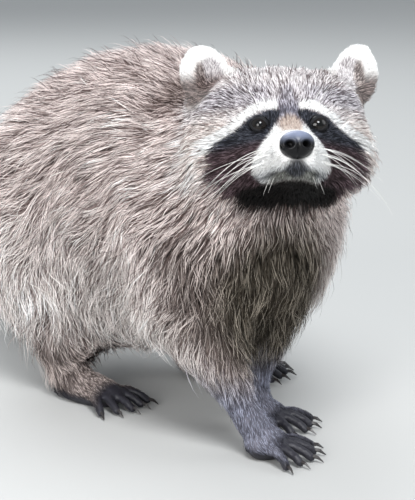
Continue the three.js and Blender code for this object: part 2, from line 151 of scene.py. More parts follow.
def head_spots():
    rows = [
        # place, lie, depth, length, width, wave
        ((0, -84, -6), (0, 1, 0.5), 1.6, 3.5, 0.37, 0),  # behind the nose pad
        ((0, -62, 2), (0, 1, 0.35), 2.0, 4.5, 0.41, 0),  # bridge of the nose
        ((12, -74, -16), (0.35, 1, -0.15), 1.8, 4.5, 0.41, 0),  # side of the muzzle
        ((17, -56, -20), (0.45, 1, -0.3), 2.4, 5.5, 0.41, 0),
        ((10, -78, -28), (0.5, 0.9, -0.6), 1.6, 5.0, 0.40, 0.1),  # upper lip
        ((0, -76, -37), (0, 0.8, -0.8), 2.0, 6.0, 0.40, 0.2),  # chin
        ((14, -58, -39), (0.4, 0.8, -0.6), 2.6, 8.0, 0.42, 0.2),
        ((24, -42, -30), (0.7, 0.9, -0.55), 3.2, 10.0, 0.48, 0.2),  # corner of the mouth
        ((0, -44, 10), (0, 0.6, 0.9), 2.2, 6.0, 0.40, 0.1),  # between the eyes
        ((0, -32, 26), (0, 0.45, 1), 4.5, 13.0, 0.48, 0.2),  # forehead
        ((14, -42, 15), (0.1, 0.35, 1), 1.8, 5.0, 0.40, 0),  # over the inner corner of the eye
        ((17, -36, 24), (0.35, 0.4, 1), 2.4, 6.5, 0.42, 0),  # brow
        ((33, -30, 16), (0.8, 0.5, 0.5), 2.4, 7.0, 0.42, 0),
        ((24, -40, -3), (0.55, 0.9, -0.35), 1.8, 4.5, 0.37, 0),  # below the eye
        ((38, -26, 6), (0.9, 0.9, 0.25), 3.5, 8.0, 0.48, 0),  # outer corner of the eye
        ((46, -14, 16), (0.95, 0.7, 0.3), 6.0, 14.0, 0.50, 0.2),
        ((34, -28, -12), (0.9, 0.7, -0.2), 3.6, 9.0, 0.48, 0.1),  # cheek
        ((54, -14, -10), (1, 0.6, -0.3), 8.0, 19.0, 0.54, 0.3),
        ((70, 4, -12), (1, 0.75, -0.55), 13.0, 28.0, 0.58, 0.4),  # ruff
        ((58, -2, -36), (0.8, 0.7, -0.8), 12.0, 28.0, 0.58, 0.4),
        ((30, -20, -46), (0.45, 0.9, -0.8), 8.0, 18.0, 0.56, 0.3),
        ((0, -36, -46), (0, 0.9, -0.8), 6.0, 15.0, 0.56, 0.2),  # throat
        ((0, -8, -52), (0, 0.8, -0.9), 12.0, 28.0, 0.60, 0.3),
        ((26, -16, 42), (0.3, 0.45, 1), 7.0, 18.0, 0.50, 0.3),  # forehead's side
        ((0, -14, 50), (0, 0.5, 1), 8.0, 19.0, 0.50, 0.3),
        ((0, 4, 60), (0, 0.8, 0.6), 9.0, 21.0, 0.52, 0.2),  # crown
        ((28, 6, 58), (0.15, 0.7, 0.8), 8.0, 19.0, 0.52, 0.2),
        ((0, 34, 56), (0, 1, -0.1), 11.0, 26.0, 0.58, 0.2),
        ((34, 28, 44), (0.1, 1, 0.1), 9.0, 20.0, 0.56, 0.2),
        ((44, 4, 36), (0.8, 0.6, 0.1), 3.0, 8.0, 0.46, 0.1),  # under the ear
        ((58, 4, 32), (0.9, 0.5, -0.4), 3.0, 8.0, 0.46, 0.1),
        ((68, 12, 36), (0.9, 0.5, -0.3), 3.0, 9.0, 0.46, 0.1),
        ((70, 22, 12), (0.6, 1, -0.3), 12.0, 28.0, 0.60, 0.3),  # side of the neck
        ((54, 12, 42), (0.3, 0.1, 1), 2.0, 7.0, 0.34, 0.2),  # ear
        ((46, 10, 60), (-0.5, 0.1, 0.9), 1.6, 5.0, 0.30, 0.2),
        ((62, 12, 60), (0.3, 0, 1), 1.4, 5.0, 0.30, 0.2),
        ((80, 14, 58), (0.9, 0.1, 0.6), 1.6, 5.5, 0.30, 0.2),
        ((68, 13, 80), (0.35, 0.1, 1), 1.4, 5.5, 0.30, 0.2),
    ]
    for place, lie, *style in rows:
        for side in (1.0, -1.0) if place[0] else (1.0,):
            flip = np.array([side, 1, 1])
            yield from_head(place * flip), turned(lie * flip), style


def tail_path():
    """Points along the middle of the tail, from its root to its tip."""
    middles = [centre(name) for name in TAIL_NODES]
    return np.array([spot("tail_base", 0.5, 0.0, 0.8), *middles, spot("tail_tip", 0.36, 1.0, 0.45)])


TAIL = tail_path()


def body_spots():
    """Spots of the trunk, legs and tail, on the left and right of the middle plane."""
    trunk = [
        # box, shares of it (from the middle outwards, front to back, upwards), lie, style
        ("neck", (0.0, 0.9, 1.0), (0, 1, 0.0), (15, 36, 0.50, 0.2)),
        ("neck", (0.8, 0.7, 0.6), (0.2, 0.8, -0.6), (18, 42, 0.50, 0.5)),
        ("neck", (0.5, 0.1, 0.1), (0.2, 0.4, -0.9), (18, 44, 0.50, 0.5)),
        ("neck", (0.0, 0.1, 0.0), (0, 0.3, -1), (19, 44, 0.50, 0.5)),
        ("chest", (0.0, 0.3, 1.0), (0, 1, -0.05), (16, 40, 0.50, 0.25)),
        ("chest", (0.7, 0.4, 0.8), (0.1, 0.9, -0.5), (18, 42, 0.50, 0.35)),
        ("chest", (1.0, 0.6, 0.5), (0.05, 0.75, -0.65), (20, 44, 0.50, 0.5)),
        ("chest", (0.9, 0.6, 0.2), (0, 0.6, -0.8), (20, 46, 0.50, 0.8)),
        ("chest", (0.0, 0.0, 0.35), (0, 0.25, -1), (20, 46, 0.50, 0.8)),
        ("chest", (0.0, 0.5, 0.0), (0, 0.9, -0.5), (18, 40, 0.50, 0.6)),
        ("loin", (0.0, 0.2, 1.0), (0, 1, -0.1), (18, 42, 0.50, 0.25)),
        ("loin", (0.6, 0.4, 0.85), (0.1, 0.9, -0.45), (19, 44, 0.50, 0.35)),
        ("loin", (1.0, 0.3, 0.5), (0, 0.75, -0.65), (21, 46, 0.50, 0.6)),
        ("loin", (0.8, 0.2, 0.15), (0, 0.5, -0.85), (20, 50, 0.50, 0.9)),
        ("loin", (0.0, 0.3, 0.0), (0, 0.9, -0.5), (17, 38, 0.50, 0.5)),
        ("loin", (0.3, 0.9, 0.9), (0.05, 0.8, -0.6), (18, 42, 0.50, 0.2)),
        ("loin", (0.5, 1.0, 0.5), (0.05, 0.3, -0.95), (17, 40, 0.50, 0.4)),
    ]
    for node, (out, along, up), lie, style in trunk:
        for side in (-1.0, 1.0) if out else (1.0,):
            where = spot(node, 0.5 + side * out / 2, along, up)
            yield where, np.array(lie) * [side, 1, 1], style
    for name, side in SIDES.items():
        outer = 0.5 + side / 2
        legs = [
            ("shoulder", (outer, 0.5, 0.7), (0, 0.35, -0.95), (18, 44, 0.50, 0.7)),
            ("shoulder", (0.5, 0.1, 0.3), (0, 0.2, -1), (16, 44, 0.50, 0.8)),
            ("shoulder", (0.5, 0.9, 0.2), (0, 0.45, -0.9), (15, 46, 0.50, 0.9)),
            ("forearm", (0.5, 0.2, 0.9), (0, 0.1, -1), (10, 38, 0.50, 0.8)),
            ("forearm", (0.5, 0.9, 0.85), (0, 0.3, -1), (9, 42, 0.50, 0.9)),
            ("forearm", (0.5, 0.5, 0.5), (0, 0.1, -1), (5, 32, 0.48, 0.7)),
            ("forearm", (0.5, 0.3, 0.25), (0, -0.1, -1), (2.4, 14, 0.46, 0.3)),
            ("forearm", (0.5, 0.2, 0.02), (0, -0.3, -1), (1.4, 7, 0.46, 0)),
            ("forepaw", (0.5, 0.8, 0.9), (0, -0.6, -0.8), (0.8, 6, 0.46, 0)),
            ("forepaw", (0.5, 0.4, 0.5), (0, -1, -0.3), (0.4, 5, 0.44, 0)),
            ("thigh", (outer, 0.5, 0.6), (0, 0.45, -0.9), (18, 46, 0.50, 0.8)),
            ("thigh", (outer, 0.4, 0.1), (0, 0.1, -1), (13, 46, 0.50, 1.0)),
            ("thigh", (0.5, 0.0, 0.3), (0, 0.1, -1), (13, 42, 0.50, 0.8)),
            ("shank", (0.5, 0.2, 0.9), (0, 0, -1), (10, 44, 0.50, 1.0)),
            ("shank", (0.5, 0.9, 0.8), (0, 0.2, -1), (10, 44, 0.50, 1.0)),
            ("shank", (outer, 0.5, 0.45), (0, -0.1, -1), (6, 38, 0.48, 0.9)),
            ("shank", (0.5, 0.5, 0.15), (0, -0.2, -1), (7, 36, 0.48, 0.9)),
            ("shank", (outer, 0.9, 0.2), (0, -0.1, -1), (7, 36, 0.48, 0.9)),
            ("hindpaw", (0.5, 0.95, 0.95), (0, -0.4, -0.9), (4.0, 26, 0.46, 0.6)),
            ("hindpaw", (0.5, 0.7, 0.9), (0, -0.9, -0.4), (0.8, 9, 0.46, 0.1)),
            ("hindpaw", (0.5, 0.4, 0.5), (0, -1, -0.2), (0.4, 5, 0.44, 0)),
        ]
        for part, shares, lie, style in legs:
            yield spot(f"{part}_{name}", *shares), np.array(lie), style
    for here, after in zip(TAIL[:-1], TAIL[1:]):
        yield here, unit(after - here), (20, 42, 0.50, 0.2)
    yield TAIL[-1], unit(TAIL[-1] - TAIL[-2]), (12, 40, 0.50, 0.2)


SPOTS = list(head_spots()) + list(body_spots())
SPOT_AT = np.array([place for place, _, _ in SPOTS])
SPOT_LIE = unit([lie for _, lie, _ in SPOTS])
SPOT_STYLE = np.array([style for _, _, style in SPOTS], float)
SPOT_REACH = 12 * MM  # nearer than this, a spot's own value holds


def styled(points, values, at_once=20000):
    """The spots' values blended at some points, the nearest spots counting most."""
    blended = np.empty((len(points), values.shape[1]))
    for first in range(0, len(points), at_once):
        part = slice(first, first + at_once)
        apart = ((points[part, None, :] - SPOT_AT[None]) ** 2).sum(-1)
        weight = (apart + SPOT_REACH**2) ** -2.5
        blended[part] = weight @ values / weight.sum(1, keepdims=True)
    return blended


# ---- The skin --------------------------------------------------------------------------------------------

VOXEL = 2 * MM
MARGIN = 14 * MM
GRID_LOW = np.floor((np.array(cad_low) - MARGIN) / VOXEL).astype(int)
GRID_HIGH = np.ceil((np.array(cad_high) + MARGIN) / VOXEL).astype(int)
GRID_SHAPE = tuple(int(n) for n in GRID_HIGH - GRID_LOW + 1)
CELLS = openvdb.createLinearTransform(voxelSize=VOXEL)
CUT_CLOSED = 0.3 * MM  # half of the thin cuts between the nodes, and a little more


def corner(index):
    return tuple(int(v) for v in index)


def read(items, key, width, kind=np.float32):
    """What a mesh's points, edges or triangles say under one key, a row for each."""
    values = np.empty(len(items) * width, kind)
    items.foreach_get(key, values)
    return values.reshape(-1, width)


def node_mesh(node):
    """A node's points and triangles, its doubled points joined."""
    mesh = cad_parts[node].data
    mesh.calc_loop_triangles()
    points, joined = np.unique(read(mesh.vertices, "co", 3).round(6), axis=0, return_inverse=True)
    return points, joined.reshape(-1)[read(mesh.loop_triangles, "vertices", 3, np.int32)].astype(np.uint32)


def flesh_distance():
    """The signed distance to the flesh and eyes as one form, near its surface, in metres."""
    band = 4.0
    field = np.full(GRID_SHAPE, band * VOXEL, np.float32)
    for node in FLESH + ["eye_right", "eye_left"]:
        points, triangles = node_mesh(node)
        near = openvdb.FloatGrid.createLevelSetFromPolygons(
            points, triangles=triangles, transform=CELLS, halfWidth=band
        )
        start = np.maximum(np.floor(points.min(0) / VOXEL).astype(int) - 5, GRID_LOW)
        stop = np.minimum(np.ceil(points.max(0) / VOXEL).astype(int) + 5, GRID_HIGH)
        block = np.empty(corner(stop - start + 1), np.float32)
        near.copyToArray(block, ijk=corner(start))
        window = tuple(slice(a, b + 1) for a, b in zip(start - GRID_LOW, stop - GRID_LOW))
        np.minimum(field[window], block, out=field[window])
    return field - np.float32(CUT_CLOSED)


def blurred(field, sigma):
    """The field smoothed by a Gaussian of that many voxels."""
    reach = int(math.ceil(2.5 * sigma))
    steps = np.arange(-reach, reach + 1)
    kernel = np.exp(-0.5 * (steps / sigma) ** 2)
    kernel /= kernel.sum()
    for axis in range(3):
        room = [(reach, reach) if a == axis else (0, 0) for a in range(3)]
        padded = np.pad(field, room, mode="edge")
        field = np.zeros_like(field)
        for shift, share in enumerate(kernel):
            window = [slice(None)] * 3
            window[axis] = slice(shift, shift + field.shape[axis])
            field += np.float32(share) * padded[tuple(window)]
    return field


def grid_points(step):
    """The places of every step-th voxel along each axis."""
    lines = [(np.arange(GRID_LOW[a], GRID_HIGH[a] + step, step) * VOXEL) for a in range(3)]
    mesh = np.meshgrid(*lines, indexing="ij")
    return np.stack(mesh, -1), mesh[0].shape


def spread(coarse, step):
    """A coarse field read at every voxel."""
    for axis, count in enumerate(GRID_SHAPE):
        place = np.arange(count) / step
        first = np.minimum(place.astype(int), coarse.shape[axis] - 2)
        shape = [1, 1, 1]
        shape[axis] = count
        share = (place - first).reshape(shape).astype(np.float32)
        coarse = np.take(coarse, first, axis) * (1 - share) + np.take(coarse, first + 1, axis) * share
    return coarse


def level_mesh(field):
    """The surface where the field is zero, as points and quads."""
    grid = openvdb.FloatGrid(3 * VOXEL)
    grid.transform = CELLS
    grid.copyFromArray(np.clip(field, -3 * VOXEL, 3 * VOXEL), ijk=corner(GRID_LOW), tolerance=0)
    return grid.convertToPolygons(isovalue=0.0, adaptivity=0.0)


def paw_share(places):
    """1 at the paws, 0 above the wrists."""
    return fade(0.024, 0.050, places[..., 2])


EAR_ROOM = np.array([24.0, 15.0, 28.0])  # an ear's half width, depth and height, in mm, with room to spare


def ear_share(seen):
    """1 at the ears, 0 a little outside them, for points in the head frame."""
    share = 0.0
    for side in SIDES:
        apart = (seen - to_head(centre(f"ear_{side}"))) / EAR_ROOM
        share = share + 1 - smoothstep(0.95, 1.25, np.linalg.norm(apart, axis=-1))
    return share


def thin_share(places):
    """1 at the ears and paws, whose shape is too thin to be smoothed."""
    return np.maximum(ear_share(to_head(places)), paw_share(places))


def outer_form():
    """The smooth outline of the coat: its signed distance at every voxel, well inwards too."""
    rough = flesh_distance()
    step = 4
    places, shape = grid_points(step)
    head = np.linalg.norm(to_head(places) - [0, -26, 8], axis=-1)
    fine = spread(fade(80, 110, head).astype(np.float32), step)
    smooth = blurred(rough, 0.9) * fine + blurred(rough, 3.5) * (1 - fine)
    thin = spread(thin_share(places).astype(np.float32), step)
    smooth = rough * thin + smooth * (1 - thin)
    points, triangles, quads = level_mesh(smooth)
    wide = openvdb.FloatGrid.createLevelSetFromPolygons(
        points, triangles=triangles, quads=quads, transform=CELLS, exBandWidth=7.0, inBandWidth=14.0
    )
    distance = np.empty(GRID_SHAPE, np.float32)
    wide.copyToArray(distance, ijk=corner(GRID_LOW))
    return distance


OUTER = outer_form()


def read_outer(points):
    """The outline's signed distance at some points, and its outward direction there."""
    place = np.asarray(points) / VOXEL - GRID_LOW
    first = np.clip(place.astype(int), 0, np.array(GRID_SHAPE) - 2)
    share = (place - first).T
    value, slope = 0.0, [0.0, 0.0, 0.0]
    for step in np.ndindex(2, 2, 2):
        x, y, z = (part if ahead else 1 - part for part, ahead in zip(share, step))
        here = OUTER[tuple((first + step).T)]
        value = value + here * x * y * z
        for axis, area in enumerate((y * z, x * z, x * y)):
            slope[axis] = slope[axis] + here * area * (1 if step[axis] else -1)
    return value, unit(np.stack(slope, -1))


BARE_DEPTH = {"ear": 0.6 * MM, "paw": -0.3 * MM}


def skin_points():
    """The skin's points and quads: the outline drawn in by the coat's depth."""
    step = 3
    places, shape = grid_points(step)
    flat = places.reshape(-1, 3)
    depth = styled(flat, SPOT_STYLE[:, :1]).reshape(shape) * MM
    ear, paw = ear_share(to_head(places)), paw_share(places)
    depth = (depth * (1 - ear) + BARE_DEPTH["ear"] * ear) * (1 - paw) + BARE_DEPTH["paw"] * paw
    field = OUTER + spread(depth.astype(np.float32), step)
    thin = spread(thin_share(places).astype(np.float32), step)
    points, triangles, quads = level_mesh(blurred(field, 0.8) * (1 - thin) + field * thin)
    faces = [tuple(q) for q in quads.tolist()] + [tuple(t) for t in triangles.tolist()]
    return points, faces


def placed(name, data):
    """An object of the scene for a mesh, lamp or camera."""
    piece = bpy.data.objects.new(name, data)
    bpy.context.scene.collection.objects.link(piece)
    return piece


def mesh_object(name, points, faces):
    mesh = bpy.data.meshes.new(name)
    mesh.from_pydata(points, [], faces)
    return placed(name, mesh)


def add_values(mesh, name, values):
    """Stores a number or a colour at each of a mesh's points, for its material."""
    if values.ndim == 1:
        layer, key = mesh.attributes.new(name, "FLOAT", "POINT"), "value"
    else:
        layer, key = mesh.color_attributes.new(name, "FLOAT_COLOR", "POINT"), "color"
        values = np.c_[values, np.ones(len(values))]
    layer.data.foreach_set(key, values.astype(np.float32).ravel())


def dress(piece, material):
    """Shades a piece smoothly in its material, and lets it ride on the one body."""
    piece.data.polygons.foreach_set("use_smooth", np.ones(len(piece.data.polygons), bool))
    piece.data.materials.append(MATERIALS[material])
    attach(piece, "root")


def outward(points, faces):
    """The faces of a closed form, turned to point out of it."""
    volume = 0.0
    for face in faces:
        for a, b in zip(face[1:-1], face[2:]):
            volume += np.dot(points[face[0]], np.cross(points[a], points[b]))
    return faces if volume > 0 else [tuple(reversed(face)) for face in faces]


def refine(mesh, wanted):
    """Quarters the faces whose points are all wanted, and joins them to their neighbours."""
    form = bmesh.new()
    form.from_mesh(mesh)
    form.verts.ensure_lookup_table()
    edges = [e for e in form.edges if wanted[e.verts[0].index] and wanted[e.verts[1].index]]
    bmesh.ops.subdivide_edges(form, edges=edges, cuts=1, use_grid_fill=True)
    form.to_mesh(mesh)
    form.free()


def points_of(mesh):
    return read(mesh.vertices, "co", 3).astype(float)


def move_points(mesh, points):
    mesh.vertices.foreach_set("co", points.astype(np.float32).ravel())
    mesh.update()


def normals_of(mesh):
    return read(mesh.vertex_normals, "vector", 3).astype(float)


def edges_of(mesh):
    return read(mesh.edges, "vertices", 2, np.int32)


def smoothed(values, edges, rounds, share=0.5):
    """Values at a mesh's points, each drawn towards the mean of its neighbours."""
    count = len(values)
    both_ways = np.concatenate([edges, edges[:, ::-1]])
    degree = np.maximum(np.bincount(both_ways[:, 0], minlength=count), 1)[:, None]
    for _ in range(rounds):
        total = np.stack([np.bincount(both_ways[:, 0], v[both_ways[:, 1]], count) for v in values.T], -1)
        values = values * (1 - share) + total / degree * share
    return values


# ---- The face --------------------------------------------------------------------------------------------

LID_OPENING = (6.1, 4.9)  # half the width and height of the eye's opening, in mm
EYE_RADIUS = 8.2
LID_STEPS = 40
# The lids cut across: outwards from the opening's edge, and up from the eyeball.
LID_SECTION = [
    (0, -0.2), (-0.2, 0.2), (0.1, 0.55), (1, 0.6), (2.4, 0.4), (3.6, -0.7), (2, -0.6), (0.8, -0.5)
]


def eye_axes(side):
    """Inward, up and ahead for one eye, as rows, in the head frame."""
    ahead = unit([side * 0.25, -0.96, 0.08])
    up = unit(np.array([0, 0, 1.0]) - ahead * ahead[2])
    inward = np.cross(up, ahead)
    return np.stack([inward if inward[0] * side < 0 else -inward, up, ahead])


def from_eye(local, side):
    return local @ eye_axes(side) + EYE * [side, 1, 1]


def to_eye(seen, side):
    """Points in one eye's frame, and how far out they are, which is 1 at the opening's edge."""
    local = (seen - EYE * [side, 1, 1]) @ eye_axes(side).T
    return local, np.hypot(*(local[:, :2] / LID_OPENING).T)


def round_eye(seen, side):
    """Lays the skin round one eyeball: behind it within the lids, and on it just outside them."""
    local, share = to_eye(seen, side)
    radius = np.linalg.norm(local, axis=1)
    near = (local[:, 2] > 0) & (share < 2.6) & (radius < 22)
    rim = np.where(share < 1.1, EYE_RADIUS - 1.6, EYE_RADIUS + 0.7)
    drawn = rim + (radius - rim) * smoothstep(1.15, 2.6, share)
    local = np.where(near[:, None], local * (drawn / np.maximum(radius, 1e-6))[:, None], local)
    return from_eye(local, side)


def mouth_line(side):
    """The line between the lips, from under the nose to the corner of the mouth, in the head frame."""
    left = [
        [0, -86, -30], [8, -83, -31.5], [14, -75, -33.5], [20, -60, -35.5], [26, -46, -35], [30, -38, -33]
    ]
    return np.array(left) * [side, 1, 1]


def off_line(points, a, b):
    """Each point's distance from the line between a and b, and its nearest place along it, from 0 to 1."""
    along = np.clip((points - a) @ (b - a) / ((b - a) @ (b - a)), 0, 1)
    return np.linalg.norm(points - a - along[:, None] * (b - a), axis=1), along


def apart_from(points, line):
    """The distance of each point from a broken line, and how far along it the nearest place is."""
    best, place = np.full(len(points), np.inf), np.zeros(len(points))
    for i, (a, b) in enumerate(zip(line[:-1], line[1:])):
        apart, along = off_line(points, a, b)
        place = np.where(apart < best, i + along, place)
        best = np.minimum(best, apart)
    return best, place / (len(line) - 1)


def sculpt_face(mesh):
    """Draws the skin back behind the eyes' lids and along the mouth."""
    seen = to_head(points_of(mesh))
    inward = -normals_of(mesh) @ HEAD_AXES.T
    pad = fade(0.75, 0.95, np.linalg.norm((seen - NOSE) / [13.5, 10.5, 10.5], axis=1))
    seen = seen + np.array([0, 7.0, 0]) * pad[:, None]
    for side in SIDES.values():
        seen = round_eye(seen, side)
        apart, _ = apart_from(seen, mouth_line(side))
        seen = seen + inward * (1.6 * fade(0.3, 2.2, apart))[:, None]
    move_points(mesh, from_head(seen))


def lid_ring(side):
    """The lids: a band over the eyeball all round its opening, with a rounded edge."""
    wide, tall = LID_OPENING
    angles = np.linspace(0, 2 * math.pi, LID_STEPS, endpoint=False)
    pinch = np.abs(np.sin(angles)) ** 0.4  # towards the eye's corners
    across, high_up = wide * np.cos(angles), 0.88 * tall * np.sin(angles) * pinch - 0.9 * np.cos(angles)
    edge = unit(np.stack([across, high_up, np.sqrt(EYE_RADIUS**2 - across**2 - high_up**2)], -1))
    away = edge * [1, 1, 0]
    away = unit(away - edge * (away * edge).sum(-1, keepdims=True))
    out, height = np.array(LID_SECTION).T[:, None, :, None]
    turn = out / EYE_RADIUS
    ring = (edge[:, None] * np.cos(turn) + away[:, None] * np.sin(turn)) * (EYE_RADIUS + height)
    points = from_head(from_eye(ring.reshape(-1, 3), side))
    around, faces = len(LID_SECTION), []
    for i in range(LID_STEPS):
        after = (i + 1) % LID_STEPS
        for j in range(around):
            beside = (j + 1) % around
            faces.append((i * around + j, after * around + j, after * around + beside, i * around + beside))
    return points, outward(points, faces)


def smooth_thin_parts(mesh):
    """Rounds the facets of the ears and paws, and swells them by what the rounding takes."""
    points = points_of(mesh)
    share = thin_share(points)[:, None]
    soft = smoothed(points, edges_of(mesh), 5)
    move_points(mesh, points + (soft - points) * share)
    move_points(mesh, points_of(mesh) + normals_of(mesh) * share * 0.25 * MM)


def make_skin():
    points, faces = skin_points()
    skin = mesh_object("skin", points, faces)
    seen = to_head(points)
    face = (seen[:, 1] < -10) & (np.abs(seen[:, 0]) < 50) & (seen[:, 2] > -56) & (seen[:, 2] < 30)
    face &= np.linalg.norm(seen, axis=1) < 120
    refine(skin.data, face | (thin_share(points) > 0.5))
    smooth_thin_parts(skin.data)
    sculpt_face(skin.data)
    join([skin] + [mesh_object(f"lid_{name}", *lid_ring(side)) for name, side in SIDES.items()])
    return skin


def join(pieces):
    """Joins pieces into the first one."""
    with bpy.context.temp_override(active_object=pieces[0], selected_editable_objects=pieces):
        bpy.ops.object.join()


# ---- Eyes and nose ---------------------------------------------------------------------------------------


def ball(rows, columns):
    """The points of a unit ball with its poles on Y, and its faces."""
    points = [(0, -1, 0)]
    for i in range(1, rows):
        tilt = math.pi * i / rows
        for j in range(columns):
            turn = 2 * math.pi * j / columns
            points.append((math.sin(tilt) * math.cos(turn), -math.cos(tilt), math.sin(tilt) * math.sin(turn)))
    points.append((0, 1, 0))
    last = len(points) - 1
    faces = []
    for j in range(columns):
        beside = (j + 1) % columns
        faces.append((0, 1 + j, 1 + beside))
        for i in range(rows - 2):
            a, b = 1 + i * columns, 1 + (i + 1) * columns
            faces.append((a + j, b + j, b + beside, a + beside))
        end = 1 + (rows - 2) * columns
        faces.append((end + j, last, end + beside))
    return np.array(points), faces


def make_eye(name, side):
    points, faces = ball(28, 40)
    off = np.hypot(points[:, 0], points[:, 2])
    bulge = 0.7 * np.exp(-((off / 0.55) ** 2)) * (points[:, 1] < 0)
    inward, up, ahead = eye_axes(side)
    shape = points * (EYE_RADIUS - 0.1 + bulge)[:, None] @ np.stack([inward, -ahead, up])
    shape = from_head(shape + EYE * [side, 1, 1])
    eye = mesh_object(f"eyeball_{name}", shape, outward(shape, faces))
    add_values(eye.data, "from_pupil", np.where(points[:, 1] < 0, off, 1.0) * EYE_RADIUS)
    dress(eye, "eye")
    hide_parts(f"eye_{name}")


def make_nose():
    """A moist pad with two nostrils, each with its slit, and a groove down the middle."""
    points, faces = ball(56, 88)
    x, y, z = points.T
    front = np.maximum(-y, 0)
    wide = 12.8 * (1 + 0.08 * z) * (1 - 0.10 * np.maximum(-z, 0) ** 3)
    shape = np.stack([x * wide, y * 10.0, z * 10.4], -1)
    shape[:, 1] += 1.0 * front**2 * np.exp(-(((z + 0.1) / 0.6) ** 2)) * 0.6
    dent = np.zeros(len(points))
    for side in SIDES.values():
        hole = np.hypot((shape[:, 0] - side * 6.4) / 1.1, (shape[:, 2] + 0.2) / 0.95)
        dent += 6.5 * fade(1.7, 3.4, hole) - 0.7 * np.exp(-(((hole - 4.2) / 1.1) ** 2))
        bend = np.array([[7.0, 0, -1.8], [9.4, 0, -3.4], [11.4, 0, -2.6], [13.4, 0, -0.4]]) * [side, 1, 1]
        slit, _ = apart_from(shape * [1, 0, 1], bend)
        dent += 1.5 * fade(0.2, 1.1, slit)
    groove = fade(0.15, 1.0, np.abs(shape[:, 0])) * fade(-4.0, -1.0, shape[:, 2])
    dent += 1.1 * groove
    inward = -unit(shape / [13, 9.6, 10])
    inward = unit(inward * [0.35, 1, 0.35])
    shape = shape + inward * (dent * (front > 0.05))[:, None]
    shape = from_head(shape + NOSE)
    nose = mesh_object("nose_pad", shape, outward(shape, faces))
    # top: 1 over the nose's upper side away from the nostrils, where the material paints a bluish-grey sky
    # reflection
    add_values(nose.data, "top", smoothstep(-0.1, 0.95, z) * fade(0.1, 2.6, dent))
    add_values(nose.data, "hollow", smoothstep(0.8, 2.6, dent))
    dress(nose, "nose")
    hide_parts("nose")


# ---- Markings, and painted shade under the head and in the ears ------------------------------------------


def tone(*seen):
    """A colour given as it is seen, 0 to 255, in linear light."""
    seen = np.array(seen) / 255
    return np.where(seen < 0.04045, seen / 12.92, ((seen + 0.055) / 1.055) ** 2.4)


# Each coat has the colour at its roots, its pale hairs, its dark hairs, and the share of pale ones.
COAT_TONES = {
    "back": ((108, 88, 82), (242, 227, 223), (86, 67, 64), 0.68),
    "flank": ((116, 96, 91), (250, 236, 232), (104, 84, 80), 0.76),
    # The breast under the head: its own grey-brown fur, painted darker as shade.
    "shaded_breast": ((52, 46, 38), (156, 147, 134), (50, 44, 36), 0.38),
    "belly": ((118, 102, 97), (254, 246, 242), (110, 92, 88), 0.78),
    "crown": ((122, 108, 107), (252, 246, 246), (100, 84, 84), 0.74),
    "forehead": ((100, 90, 94), (240, 235, 240), (84, 74, 78), 0.60),
    "cheek": ((176, 160, 154), (253, 244, 240), (150, 128, 122), 0.82),
    "white": ((240, 238, 236), (255, 255, 254), (246, 243, 240), 0.9),
    "stripe": ((84, 82, 92), (186, 184, 200), (80, 78, 88), 0.46),
    "tan": ((178, 160, 150), (228, 214, 204), (182, 160, 148), 0.66),
    "mask": ((23, 23, 27), (96, 99, 110), (35, 36, 42), 0.38),
    "brown": ((50, 39, 41), (132, 112, 118), (58, 45, 48), 0.32),
    "throat": ((12, 10, 10), (34, 30, 29), (12, 11, 11), 0.25),
    "lid": ((13, 13, 16), (36, 36, 42), (15, 15, 18), 0.3),
    "chin": ((96, 96, 92), (176, 178, 172), (84, 84, 80), 0.50),
    "lip": ((176, 178, 180), (246, 247, 248), (150, 154, 160), 0.72),
    "ear": ((132, 126, 127), (248, 243, 244), (124, 116, 118), 0.80),
    # The collar under the head: its own grey-brown fur, painted darker as shade.
    "neck": ((78, 66, 62), (188, 176, 170), (74, 62, 58), 0.42),
    "earback": ((60, 48, 46), (170, 150, 144), (58, 46, 44), 0.40),
    "nape": ((84, 70, 66), (206, 188, 182), (74, 58, 55), 0.44),
    "foreleg": ((88, 86, 94), (172, 175, 193), (94, 93, 104), 0.50),
    "hindleg": ((70, 58, 55), (216, 202, 196), (62, 51, 49), 0.52),
    "leather": ((36, 35, 41), (62, 62, 72), (32, 31, 37), 0.30),
    "ring": ((38, 32, 30), (84, 72, 68), (34, 28, 26), 0.20),
    "tail": ((120, 104, 94), (228, 216, 206), (126, 108, 98), 0.66),
}
COATS = {name: (*(tone(*seen) for seen in tones), chance) for name, (*tones, chance) in COAT_TONES.items()}

# The mask's edges on each side of the face, as widths from the middle at falling heights, in mm.
MASK_HEIGHTS = (-48, -42, -38, -35, -31, -25, -17, -11, -6, -2, 2, 7, 11.5, 15, 17, 18.5)
MASK_OUTER = (34, 49, 57, 59.5, 61.5, 63, 62, 60, 58, 50, 43, 36.5, 31.5, 27, 21, 13)
MASK_INNER = (10, 15, 21, 25.5, 29, 29.5, 27, 23.5, 19.5, 16.5, 14, 11, 8, 6.5, 6.5, 8)
BROW = [[11.5, 22.4], [18, 23], [26, 20.4], [33, 15.4], [39, 9.8], [46, 3.8], [55, -1.5], [66, -6]]
BROW_RADII = (3.6, 3.6, 3.5, 3.4, 3.4, 4.0, 5.0, 6.5)


def within(points, line, radii, soft=3.0):
    """1 inside a chain of discs or balls, 0 outside it, over a soft edge, all in one unit."""
    share = np.zeros(len(points))
    line = np.asarray(line, float)
    for a, b, start, end in zip(line[:-1], line[1:], radii[:-1], radii[1:]):
        apart, along = off_line(points, a, b)
        radius = start + (end - start) * along
        share = np.maximum(share, fade(-soft, soft, apart - radius))
    return share


